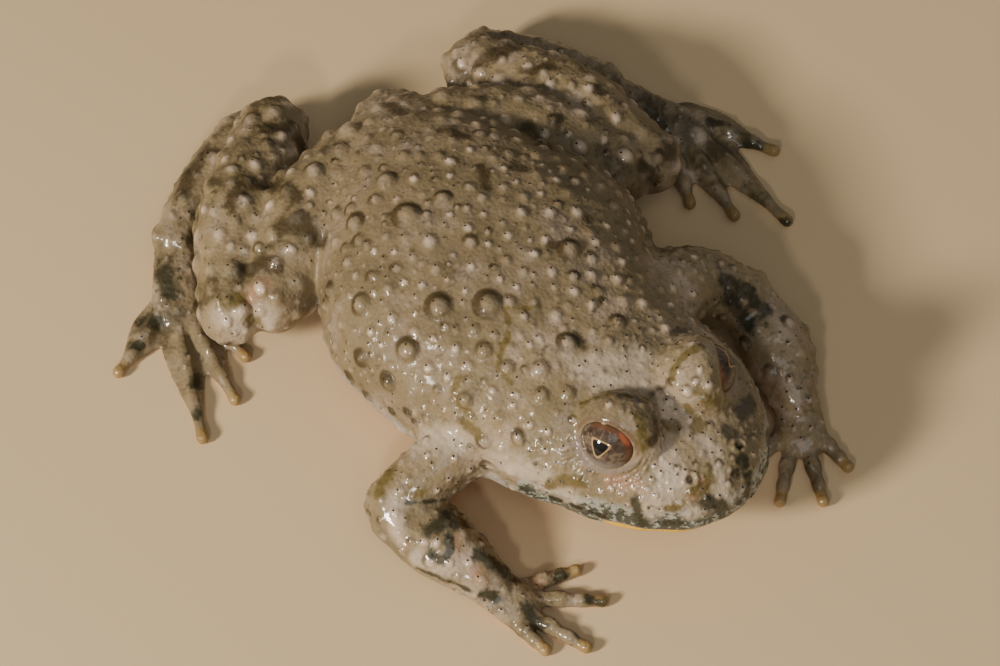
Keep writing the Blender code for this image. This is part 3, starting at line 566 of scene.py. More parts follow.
def read_mesh(mesh):
    """Points, triangles and edges of a mesh as arrays."""
    points = np.empty(len(mesh.vertices) * 3, np.float32)
    mesh.vertices.foreach_get("co", points)
    mesh.calc_loop_triangles()
    triangles = np.empty(len(mesh.loop_triangles) * 3, np.int32)
    mesh.loop_triangles.foreach_get("vertices", triangles)
    edges = np.empty(len(mesh.edges) * 2, np.int32)
    mesh.edges.foreach_get("vertices", edges)
    return points.reshape(-1, 3).astype(float), triangles.reshape(-1, 3), edges.reshape(-1, 2)


def with_modifier(thing, kind, **settings):
    """The object's mesh with one modifier applied, and the object removed."""
    modifier = thing.modifiers.new("step", kind)
    for field, value in settings.items():
        setattr(modifier, field, value)
    graph = bpy.context.evaluated_depsgraph_get()
    result = bpy.data.meshes.new_from_object(thing.evaluated_get(graph))
    bpy.data.objects.remove(thing)
    return result


def neighbour_mean(values, edges):
    """Mean of each point's neighbours: the far ends of its edges summed and divided by their count."""
    near, far = np.concatenate([edges, edges[:, ::-1]]).T
    total = np.stack([np.bincount(near, column[far], len(values)) for column in values.T], axis=1)
    return total / np.maximum(np.bincount(near, minlength=len(values)), 1)[:, None]


def point_normals(points, triangles):
    """Normals at the points: the sum of the area normals of the triangles that meet there."""
    corner = points[triangles]
    face = np.cross(corner[:, 1] - corner[:, 0], corner[:, 2] - corner[:, 0])
    total = np.stack([np.bincount(triangles.ravel(), np.repeat(column, 3), len(points))
                      for column in face.T], axis=1)
    return unit(total)


def fuse(pieces):
    """One closed skin round all the pieces: a voxel shell, then a few rounds of smoothing."""
    starts = np.cumsum([0] + [len(points) for points, _ in pieces])
    points = np.concatenate([points for points, _ in pieces])
    faces = np.concatenate([faces + start for (_, faces), start in zip(pieces, starts)])
    draft = put_mesh("draft", points, faces, 1.0)
    points, triangles, edges = read_mesh(with_modifier(draft, "REMESH", mode="VOXEL", voxel_size=VOXEL))
    for _ in range(SMOOTHINGS):
        points += SMOOTHING * (neighbour_mean(points, edges) - points)
    return points, triangles, edges


def fill_creases(points, triangles, edges):
    """Fills hollows: a point below its neighbours' mean moves up to it, most at the filled folds."""
    folds = np.array(FILLED_FOLDS)
    reach = np.linalg.norm(points[:, None] - folds[None, :, :3], axis=2) / folds[:, 3]
    weight = OPEN_FILL + (1 - OPEN_FILL) * eased(*FOLD_FADE, reach.min(axis=1))
    for step in range(CREASE_FILLS):
        if step % NORMALS_EVERY == 0:
            normals = point_normals(points, triangles)
        pull = neighbour_mean(points, edges) - points
        hollow = (pull * normals).sum(axis=1) > 0
        points = points + pull * (weight * hollow * CREASE_FILL)[:, None]
    return points


def around_eye(points, side):
    """Points seen from an eye's centre: distance, angle from the gaze, and angle round the gaze.

    Then comes the angle of the lids' opening on that side, which is an ellipse of angles, and how
    far the point lies from the edge of the upper or lower lid there.
    """
    along, across, look = gaze_axes(side)
    offset = points - eye_centre(side)
    distance = np.linalg.norm(offset, axis=1)
    polar = np.arccos(np.clip(offset @ look / distance, -1, 1))
    turn = np.arctan2(offset @ across, offset @ along)
    half = np.radians(OPENINGS[side])
    edge = 1 / np.sqrt((np.cos(turn) / half[0]) ** 2 + (np.sin(turn) / half[1]) ** 2)
    top = EYE_RADIUS + LID_THICKNESS
    away = np.sqrt(distance ** 2 + top ** 2 - 2 * distance * top * np.cos(polar - edge))
    return distance, polar, turn, edge, away


def open_lids(points, side):
    """Opens the lids over an eye, working along rays from the eye's centre.

    Inside the opening the skin drops just under the eyeball's surface and crowds towards the edge.
    At the edge it rises in a rounded rim as thick as the lid. Around that it eases back to where it
    was, over LID_BLEND measured in space from the edge.
    """
    along, across, look = gaze_axes(side)
    distance, polar, turn, edge, away = around_eye(points, side)
    inside = polar < edge
    moved = np.where(inside, edge * np.clip(polar / edge, 0, 1) ** LID_CROWDING, polar)
    beyond = (moved - edge) * EYE_RADIUS
    rim = EYE_RADIUS - SKIN_SINK + (LID_THICKNESS + SKIN_SINK) * np.sqrt(eased(*LID_EDGE, beyond))
    radius = rim + (distance - rim) * eased(LID_FLAT, LID_BLEND, np.where(inside, 0, away))
    direction = (np.sin(moved) * np.cos(turn))[:, None] * along
    direction = direction + (np.sin(moved) * np.sin(turn))[:, None] * across + np.cos(moved)[:, None] * look
    centre = eye_centre(side)
    near = (inside & (distance < LID_REACH)) | (away < LID_BLEND)
    return np.where(near[:, None], centre + direction * radius[:, None], points)


def lid_rims(points):
    """1 on the rim of the lower lids and on that of the upper lids, and the rise of the folds below.

    The folds are a cosine of the distance from the edge, under the eye only.
    """
    lower, upper, folds = np.zeros((3, len(points)))
    for side in (1, -1):
        _, polar, turn, edge, away = around_eye(points, side)
        outside = polar > edge - LID_RIM_INSIDE
        rim = eased(*LID_RIM, away) * outside
        below = eased(*LOWER_LID, np.sin(turn))
        band = eased(*LID_FOLDS_IN, away) * eased(*LID_FOLDS_OUT, away) * outside
        lower = np.maximum(lower, rim * below)
        upper = np.maximum(upper, rim * (1 - below))
        waves = np.cos((away - LID_FOLDS_FROM) * 2 * math.pi / LID_FOLD_SPACING)
        folds += LID_FOLD_RISE * waves * band * below
    return lower, upper, folds


def clear_of_eyes(points):
    """0 on the rims of the lids and inside them, rising to 1 where the skin is far from the eyes."""
    eyes = [eye_centre(side) for side in (1, -1)]
    return eased(*EYE_CLEARANCE, np.min([np.linalg.norm(points - eye, axis=1) for eye in eyes], axis=0))


def view_axes():
    """Directions of the camera: to its right, up in the picture, and back from the toad to it."""
    azimuth, elevation = math.radians(CAMERA_AZIMUTH), math.radians(CAMERA_ELEVATION)
    back = np.array([math.sin(azimuth) * math.cos(elevation), -math.cos(azimuth) * math.cos(elevation),
                     math.sin(elevation)])
    right = unit(np.cross(UP, back))
    return right, np.cross(back, right), back


def cast_picks(tree, picks):
    """Points and normals where rays through pixels of the view first meet the skin, if they do."""
    right, up, back = view_axes()
    eye = LOOK_AT + back * CAMERA_DISTANCE
    focal = LENS / SENSOR * VIEW_SIZE[0]
    found = []
    for x, y in picks:
        ray = -back + right * (x - VIEW_SIZE[0] / 2) / focal - up * (y - VIEW_SIZE[1] / 2) / focal
        point, normal, _, _ = tree.ray_cast(Vector(eye), Vector(ray))
        if point is not None:
            found.append((*point, *normal))
    return np.array(found).reshape(-1, 6)


def regions(points, place):
    """Name of the length of flesh that each point lies on: the one whose own surface is nearest.

    A limb's surface is its stations' centre line less the radius there. The trunk's is the
    superellipse value of the section at the point's distance from the snout.
    """
    names, misses = [], []
    for name, stations in LIMBS.items():
        stations = np.array(stations)
        knots = lengths(stations[:, :3])
        row = through(knots, stations, np.linspace(0, knots[-1], LIMB_SAMPLES))
        gap = np.linalg.norm(points[:, None] - row[None, :, :3], axis=2) - row[:, 3:].mean(axis=1)
        names.append(name[:-2])
        misses.append(np.abs(gap.min(axis=1)))
    for name, digits in (("hand", FINGERS), ("foot", TOES)):
        line = np.concatenate([np.linspace(*ends, DIGIT_SAMPLES) for side in "RL" for ends in digits[side]])
        line = np.column_stack([line, np.full(len(line), DIGIT_HEIGHT)])
        gap = np.linalg.norm(points[:, None] - line[None], axis=2).min(axis=1) - DIGIT_RADIUS
        names.append(name)
        misses.append(np.abs(gap))
    names += ["back", "head"]
    behind = place[:, 0] > HEAD_LENGTH
    misses += [np.where(behind, place[:, 3], math.inf), np.where(behind, math.inf, place[:, 3])]
    return np.array(names)[np.argmin(misses, axis=0)]


def trunk_place(points):
    """Distance from the snout, offset to the left, share of the way up and miss of the trunk."""
    distances = np.linspace(0, TRUNK[-1, 0], TRUNK_SAMPLES)
    centres, lefts = spine_at(distances)
    nearest = np.argmin(np.linalg.norm(points[:, None, :2] - centres[None], axis=2), axis=1)
    offset = ((points[:, :2] - centres[nearest]) * lefts[nearest]).sum(axis=1)
    width, top, under = trunk_section(distances)[:, nearest]
    width = np.maximum(width, LEAST_SECTION)
    middle = under + WIDEST_HEIGHT * (top - under)
    reach = np.maximum(np.where(points[:, 2] > middle, top - middle, middle - under), LEAST_SECTION)
    value = np.abs(offset / width) ** SQUARENESS + np.abs((points[:, 2] - middle) / reach) ** SQUARENESS
    miss = np.abs(value ** (1 / SQUARENESS) - 1) * np.minimum(width, reach)
    return np.column_stack([distances[nearest], offset, (points[:, 2] - under) / (top - under), miss])


def patches(points, centres, reaches):
    """Yields each centre's number, the points within its reach and their offsets from it."""
    order = np.argsort(points[:, 0])
    sorted_x = points[order, 0]
    for number, (centre, reach) in enumerate(zip(centres, reaches)):
        first, last = np.searchsorted(sorted_x, [centre[0] - reach, centre[0] + reach])
        near = order[first:last]
        offset = points[near] - centre
        inside = (offset ** 2).sum(axis=1) < reach ** 2
        yield number, near[inside], offset[inside]


def sow_warts(points, normals, place, taken, rng):
    """Seeded places on the upper skin, spaced from the warts already there.

    Returns rows of point, normal, radius. A try is kept where it clears every wart before it by the
    spacing of its region, times a random spread, times the sum of both radii.
    """
    region = regions(points, place)
    clear = clear_of_eyes(points) > 0
    lip = mouth_height(place[:, 0])
    clear &= ~((region == "head") & (points[:, 2] < lip + LIP_CLEARANCE))
    clear &= (points[:, 2] > SOWN_LOWEST) & (normals[:, 2] > SOWN_SLOPE)
    weights = clear * np.where(region == "head", HEAD_TRIES, 1.0)
    ids = rng.choice(len(points), SOWN_TRIES, p=weights / weights.sum())
    draws = rng.random(SOWN_TRIES)
    low, high, spacing = np.array([SOWING[name] for name in region[ids]]).T
    radii = low + (high - low) * draws ** SMALL_BIAS
    spacing = spacing * rng.uniform(*SPACING_SPREAD, SOWN_TRIES)
    order = np.argsort(-radii, kind="stable")
    rows = np.empty((len(taken) + SOWN_TRIES, 7))
    rows[:len(taken)] = taken
    count = len(taken)
    for number in order:
        where, radius = points[ids[number]], radii[number]
        apart = np.linalg.norm(rows[:count, :3] - where, axis=1)
        if (apart - spacing[number] * (rows[:count, 6] + radius)).min() > 0:
            rows[count] = (*where, *normals[ids[number]], radius)
            count += 1
    return rows[len(taken):count]


def all_warts(points, normals, place, tree, rng):
    """Every wart as a row of point, normal, radius, tilt and stretch, with its kind and its ring.

    Those picked from the view come first and the sown ones after them.
    """
    picks = np.array([(*pick, RINGED) for pick in RINGED_WARTS]
                     + [(*pick, 1.0, FLANK) for pick in FLANK_WARTS]
                     + [(*pick, 0.0, PALE) for pick in PALE_WARTS])
    picked = np.column_stack([cast_picks(tree, picks[:, :2]), picks[:, 2] * PIXEL])
    sown = sow_warts(points, normals, place, picked, np.random.default_rng(SEED))
    rings = np.concatenate([picks[:, 3], np.zeros(len(sown))])
    kinds = np.concatenate([picks[:, 4].astype(int), np.full(len(sown), SOWN)])
    tilts = rng.uniform(-WART_TILT, WART_TILT, len(kinds))
    stretches = np.sqrt(np.where(kinds == RINGED, 1.0, rng.uniform(1.0, WART_STRETCH, len(kinds))))
    return np.column_stack([np.concatenate([picked, sown]), tilts, stretches]), kinds, rings


def mouth_height(distance):
    """Height of the mouth's slit at distances from the snout."""
    share = np.clip(distance / MOUTH_CORNER_AT, 0, 1)
    return MOUTH_HEIGHT_FRONT + (MOUTH_HEIGHT_CORNER - MOUTH_HEIGHT_FRONT) * share


def mouth_push(points, place):
    """Push along the normals at the mouth, and how far in its groove each point lies.

    The groove is a bell curve of the height over the slit, and each lip a wider one that swells
    beside it. All fade out past the corners.
    """
    rise = points[:, 2] - mouth_height(place[:, 0])
    fade = eased(MOUTH_CORNER_AT + MOUTH_FADE, MOUTH_CORNER_AT - MOUTH_FADE, place[:, 0])
    fade = fade * (place[:, 3] < ON_TRUNK)
    groove = np.exp(-(rise / MOUTH_HALF_WIDTH) ** 2)
    lips = sum(np.exp(-((rise - height) / width) ** 2) * amount for height, width, amount in LIPS)
    return fade * (lips - (MOUTH_DEPTH + LIP_SWELL) * groove), fade * groove


def nostril_places(tree):
    """Where the nostrils open: straight down onto the snout at their offset from the midline."""
    found = []
    for side in (1, -1):
        above = in_head(NOSTRIL_AT, side * NOSTRIL_OFFSET, ABOVE_SNOUT)
        point, normal, _, _ = tree.ray_cast(Vector(above), Vector(-UP))
        found.append((*point, *normal))
    return np.array(found)


def wart_place(wart, offset):
    """Offsets from a wart in its own radii: along it, across it, and the distance from its middle.

    A wart is a row of point, normal, radius, tilt of its long side from tailwards, and stretch.
    """
    normal, radius, tilt, stretch = wart[3:6], wart[6], wart[7], wart[8]
    tail = unit(TAILWARD - (TAILWARD @ normal) * normal)
    along = tail * math.cos(tilt) + np.cross(normal, tail) * math.sin(tilt)
    across = np.cross(normal, along)
    local = np.stack([offset @ along / stretch, offset @ across * stretch], axis=1) / radius
    return local, np.linalg.norm(local, axis=1)


def raise_warts(points, normals, warts, kinds, rng):
    """Height that the warts give each point, the highest where two meet.

    A dome is one minus the square of the share of the radius, to the power of its kind.
    """
    height = np.zeros(len(points))
    least, greatest, powers = WART_LOOKS[kinds, 4:].T
    rises = (least + (greatest - least) * rng.random(len(kinds))) * warts[:, 6]
    for number, near, offset in patches(points, warts[:, :3], warts[:, 6] * WART_REACH):
        _, share = wart_place(warts[number], offset)
        facing = normals[near] @ warts[number, 3:6] > WART_FACING
        rise = np.clip(1 - share ** 2, 0, 1) ** powers[number] * rises[number] * facing
        height[near] = np.maximum(height[near], rise)
    return height


def swell(points, rng, waves=40):
    """Gentle unevenness: sine waves of random direction, length and phase, summed and scaled."""
    ways = unit(rng.normal(size=(waves, 3))) * 2 * math.pi / rng.uniform(*SWELL_LENGTHS, (waves, 1))
    heights = np.sin(points @ ways.T + rng.uniform(0, 2 * math.pi, waves)).sum(axis=1)
    return SWELL_RISE * heights / math.sqrt(waves)


def stroke_field(points, tree, strokes):
    """1 on a stroke's own line, falling to 0 at twice its half width. A stroke of one pick is a dot."""
    field = np.zeros(len(points))
    for half_width, picks in strokes:
        line = cast_picks(tree, picks)[:, :3]
        if len(line) == 0:
            continue
        if len(line) == 1:
            line = np.repeat(line, 2, axis=0)
        reach = 2 * half_width * PIXEL
        middle = (line.min(axis=0) + line.max(axis=0)) / 2
        near = np.flatnonzero((np.abs(points - middle) < (line.max(axis=0) - middle) + reach).all(axis=1))
        best = np.full(len(near), math.inf)
        for start, end in zip(line[:-1], line[1:]):
            span = end - start
            share = np.clip((points[near] - start) @ span / max(span @ span, 1e-9), 0, 1)
            best = np.minimum(best, np.linalg.norm(points[near] - start - share[:, None] * span, axis=1))
        field[near] = np.maximum(field[near], np.clip(1 - best / reach, 0, 1))
    return field


def wart_fields(points, normals, warts, kinds, rings):
    """How the warts colour each point: offset from the wart, paleness of its crown and dark ring.

    The offset is roughly tailwards and sideways in radii, with the radius beside it. The ring is a
    band round the foot of a ringed wart, darkest on its tailward side.
    """
    wart = np.tile(NO_WART, (len(points), 1))
    crown, ring = np.zeros(len(points)), np.zeros(len(points))
    rng = np.random.default_rng(SEED + 1)
    least, greatest, reach, start = WART_LOOKS[kinds, :4].T
    paleness = least + (greatest - least) * rng.random(len(kinds))
    pored = (kinds != SOWN) | (rng.random(len(kinds)) < PORED_SHARE) & (warts[:, 6] > PORED_RADIUS)
    half_ringed = (kinds == SOWN) & (rng.random(len(kinds)) < HALF_RINGED_SHARE)
    half_ringed &= warts[:, 6] > HALF_RINGED_RADIUS
    rings = np.where(half_ringed, rng.uniform(*HALF_RING, len(kinds)), rings)
    for number, near, offset in patches(points, warts[:, :3], warts[:, 6] * COLOUR_REACH):
        local, share = wart_place(warts[number], offset)
        on = (share < PORE_REACH) & (normals[near] @ warts[number, 3:6] > 0)
        if pored[number]:
            wart[near[on]] = np.column_stack([local[on], np.full(on.sum(), warts[number, 6])])
        lean = local[:, 0] / np.maximum(share, 0.01)
        crown[near] = np.maximum(crown[near], eased(reach[number], CROWN_FULL, share) * paleness[number])
        band = eased(start[number], start[number] + RING_WIDTH, share) * eased(*RING_OUT, share)
        darkness = RING_DARKNESS[0] + RING_DARKNESS[1] * lean
        ring[near] = np.maximum(ring[near], band * darkness * rings[number])
    return wart, crown, ring


def skin_fields(points, normals, edges, warts, kinds, rings, tree, nostrils):
    """What the skin's material reads at each point, as named arrays.

    Besides the warts, the lids' rims and the strokes of each mark there are the underside, the grey
    of the lower flank, the side of the jaws, the lower lip, the tips of the digits, the darkening of
    the back behind the head, the share of dark blotches, the thickness of the water film, and the
    painted shade in the hollows of mouth and nostrils.
    """
    wart, crown, ring = wart_fields(points, normals, warts, kinds, rings)
    place = trunk_place(points)
    region = regions(points, place)
    body = np.isin(region, ["back", "head"])
    head = region == "head"
    belly = eased(*BELLY, normals[:, 2]) * (body | np.isin(region, ["hand", "foot"]))
    flank = eased(*LOWER_FLANK, place[:, 2]) * body * (1 - belly)
    # Painted shade: dark in the mouth's slit and in the nostrils' holes
    hollow = mouth_push(points, place)[1]
    for _, near, offset in patches(points, nostrils[:, :3], [NOSTRIL_RADIUS * 2] * 2):
        hollow[near] = eased(*NOSTRIL_DARK, np.linalg.norm(offset, axis=1))
    below_slit = mouth_height(place[:, 0]) - points[:, 2]
    jaw = eased(*JAW_BELOW_SLIT, below_slit) * eased(*JAW, place[:, 0]) * head * (1 - belly)
    lip = np.exp(-((below_slit - LIP_BELOW_SLIT[0]) / LIP_BELOW_SLIT[1]) ** 2)
    lip = lip * head * eased(*LIP, place[:, 0])
    lower_lid, upper_lid, _ = lid_rims(points)
    # Darker over the back, from behind the head on
    darker_back = (region == "back") * eased(*DARKER_BACK, place[:, 0])
    regional = np.column_stack([[BLOTCHED[name] for name in region], darker_back, np.isin(region, FILMED)])
    for _ in range(REGION_SMOOTHINGS):
        regional = neighbour_mean(regional, edges)
    tip = np.zeros(len(points))
    tips = [(*ends[1], TIP_HEIGHT) for digits in (FINGERS, TOES) for side in "RL" for ends in digits[side]]
    for _, near, offset in patches(points, np.array(tips), [TIP_REACH] * len(tips)):
        tip[near] = eased(TIP_REACH, TIP_HEIGHT, np.linalg.norm(offset, axis=1))
    film = np.maximum(eased(0, FILM_CROWN, crown), FILM_THERE * regional[:, 2])
    fields = {"blotch": regional[:, 0], "darker_back": regional[:, 1], "film": film, "tip": tip, "wart": wart,
              "crown": crown, "ring": ring, "belly": belly, "flank": flank, "hollow": hollow,
              "jaw": jaw, "lip": lip, "lower_lid": lower_lid, "upper_lid": upper_lid}
    for name, strokes in MARKS.items():
        fields[name] = stroke_field(points, tree, strokes)
    paleness, radius, width = NOSTRIL_RIM_PALE
    for _, near, offset in patches(points, nostrils[:, :3], [NOSTRIL_REACH] * 2):
        rim = paleness * np.exp(-((np.linalg.norm(offset, axis=1) - radius) / width) ** 2)
        fields["pale"][near] = np.maximum(fields["pale"][near], rim)
    return fields


def write_fields(mesh, fields):
    """Writes arrays as point attributes: one number a point as a float, three as a vector."""
    for name, values in fields.items():
        kind, field = ("FLOAT", "value") if values.ndim == 1 else ("FLOAT_VECTOR", "vector")
        attribute = mesh.attributes.new(name, kind, "POINT")
        attribute.data.foreach_set(field, np.ascontiguousarray(values, np.float32).ravel())


def thinned(points, triangles, upper):
    """Fewer triangles: edges collapse where that moves the skin least.

    On the upper skin, where upper is 1, an edge also costs its length times THIN_EVENNESS, which
    keeps the points there closer together. The group falls to a half there, in steps of an eighth.
    """
    draft = put_mesh("draft", points, triangles, 1.0)
    group = draft.vertex_groups.new(name="free")
    levels = 1 - np.round(upper * 4) / 8
    for level in np.unique(levels):
        group.add(np.flatnonzero(levels == level).tolist(), float(level), "REPLACE")
    return read_mesh(with_modifier(draft, "DECIMATE", ratio=SKIN_TRIANGLES / len(triangles),
                                   vertex_group="free", vertex_group_factor=THIN_EVENNESS))


def make_skin():
    """The toad's whole skin with its warts, lids, mouth and nostrils, and the fields on it."""
    points, triangles, edges = fuse(body_pieces())
    points = fill_creases(points, triangles, edges)
    for side in (1, -1):
        points = open_lids(points, side)
    for _ in range(LID_SMOOTHINGS):
        points += LID_SMOOTHING * (neighbour_mean(points, edges) - points)
    normals = point_normals(points, triangles)
    tree = BVHTree.FromPolygons(points.tolist(), triangles.tolist())
    place = trunk_place(points)
    rng = np.random.default_rng(SEED + 2)
    warts, kinds, rings = all_warts(points, normals, place, tree, rng)
    nostrils = nostril_places(tree)
    push = raise_warts(points, normals, warts, kinds, rng)
    push = push + mouth_push(points, place)[0] + lid_rims(points)[2]
    push += swell(points, rng) * eased(*SWELL_FROM, points[:, 2]) * clear_of_eyes(points)
    rise, rim, width = NOSTRIL_RIM
    for _, near, offset in patches(points, nostrils[:, :3], [NOSTRIL_REACH] * 2):
        away = np.linalg.norm(offset, axis=1)
        push[near] += rise * np.exp(-((away - rim) / width) ** 2)
        push[near] -= NOSTRIL_DEPTH * eased(*NOSTRIL_WALL, away)
    points = points + normals * push[:, None]
    points[:, 2] = np.maximum(points[:, 2], 0)
    upper = eased(*FINE_SLOPE, normals[:, 2]) * eased(*FINE_HEIGHT, points[:, 2])
    points, triangles, edges = thinned(points, triangles, upper)
    points[:, 2] = np.maximum(points[:, 2], 0)
    skin = put_mesh("skin", points, triangles)
    normals = point_normals(points, triangles)
    write_fields(skin.data, skin_fields(points, normals, edges, warts, kinds, rings, tree, nostrils))
    return skin


def make_eye(name, side, rows=72, columns=96):
    """An eyeball as a grid of angle from its gaze by angle round it, the cornea bulging a little.

    The radius is the eyeball's plus a bell curve of the angle from the gaze. iris holds the offset
    in millimetres forward along the slit between the lids, up across it, and the share of the way
    round to the back.
    """
    axes = np.array(gaze_axes(side))
    centre = eye_centre(side)
    polar, ways = ball_grid(rows, columns)
    radius = EYE_RADIUS + CORNEA_BULGE * np.exp(-(polar / math.radians(CORNEA_SPREAD)) ** 2)
    points = centre + radius[:, None] * (ways @ axes)
    draft = put_mesh("draft", points, grid_faces(rows, columns), 1.0)
    points, triangles, _ = read_mesh(with_modifier(draft, "WELD", merge_threshold=POLE_WELD))
    made = put_mesh(name, points, triangles[:, ::-1])
    ahead, upwards, outwards = (unit(points - centre) @ axes.T).T
    iris = [-side * ahead * EYE_RADIUS, upwards * EYE_RADIUS, np.arccos(np.clip(outwards, -1, 1)) / math.pi]
    write_fields(made.data, {"iris": np.column_stack(iris)})
    return made


def linear(colour):
    """An sRGB hex colour as linear red, green, blue and alpha."""
    channel = np.array([int(colour[i:i + 2], 16) for i in (1, 3, 5)]) / 255
    return (*np.where(channel <= 0.04045, channel / 12.92, ((channel + 0.055) / 1.055) ** 2.4), 1.0)


def add(tree, kind, inputs=None, **settings):
    """Adds a shader node with its settings, and sets or links its inputs by name or number."""
    node = tree.nodes.new("ShaderNode" + kind)
    for field, value in settings.items():
        setattr(node, field, value)
    for key, value in (inputs or {}).items():
        if isinstance(value, bpy.types.NodeSocket):
            tree.links.new(value, node.inputs[key])
        else:
            node.inputs[key].default_value = value
    return node


def new_material(name):
    """A material with its node tree and its main shader."""
    material = bpy.data.materials.new(name)
    material.use_nodes = True
    return material, material.node_tree, material.node_tree.nodes["Principled BSDF"]


PER_MM = 1000.0                # pattern scale for one feature a millimetre
PUPIL_MIDDLE = (-0.12, 0.22)   # forward and up from the middle of the gaze, in millimetres
PUPIL_SIDES = (90, 210, 330)   # ways that its sides face, in degrees from along the slit
PUPIL_ROUNDING = 0.62          # over how much of its reach its corners are rounded
RED_WAY = (0.45, 0.80, 0.0)    # way from the middle of the gaze to the iris's red arc
RED_MIDDLE = (1.35, 1.25, 0.25)  # middle of the arc's bright stretch
IRIS_MARBLING = 1.7            # patches of marbling and flecks a millimetre of the iris
IRIS_FLECKS = 6.0
PORE_AHEAD = 0.45              # how far tailwards of its wart's middle a pore lies, in radii
DOTTED_SHARE = 0.30            # cells with a random value up to this have a lone pore
# Size of each noise in millimetres: clouds and mottles of pigment cells, the frayed borders of
# marks, specks, and the skin's grain, which is drawn coarser than real so that it shows
NOISES = {"cloud": 6.0, "blotch": 3.6, "mottle": 1.6, "fray": 0.75, "jaw_grain": 0.60, "speck": 0.3,
          "grain": 0.14}
LONE_PORES = 0.85              # spacing of the cells that may have a lone pore, in millimetres
GRANULES = 0.30                # size of the skin's granules
# Fields of the skin that its layers read, besides those of the marks
FIELDS = ("crown", "ring", "belly", "flank", "hollow", "jaw", "lip", "lower_lid", "upper_lid",
          "blotch", "darker_back", "tip", "film")
# Lights: name, azimuth and elevation in degrees, distance and size in millimetres, power, colour
LIGHTS = [
    ("key", -86, 29, 420, 62, 3.1, "#fff2e2"),
    ("camera_side", -22, 60, 420, 220, 0.30, "#ffffff"),
    ("snout_glint", -42, 36, 420, 36, 0.50, "#fff8ee"),
    ("left_side", 108, 22, 420, 300, 0.07, "#fff2e2"),
    ("fill", 70, 55, 500, 400, 0.18, "#fff8ee"),
]
WORLD_STRENGTH = 0.14
FLOOR_HALF = 1500.0
FLOOR_GAP = 0.02               # the floor lies this far under the toad, so that they don't flicker


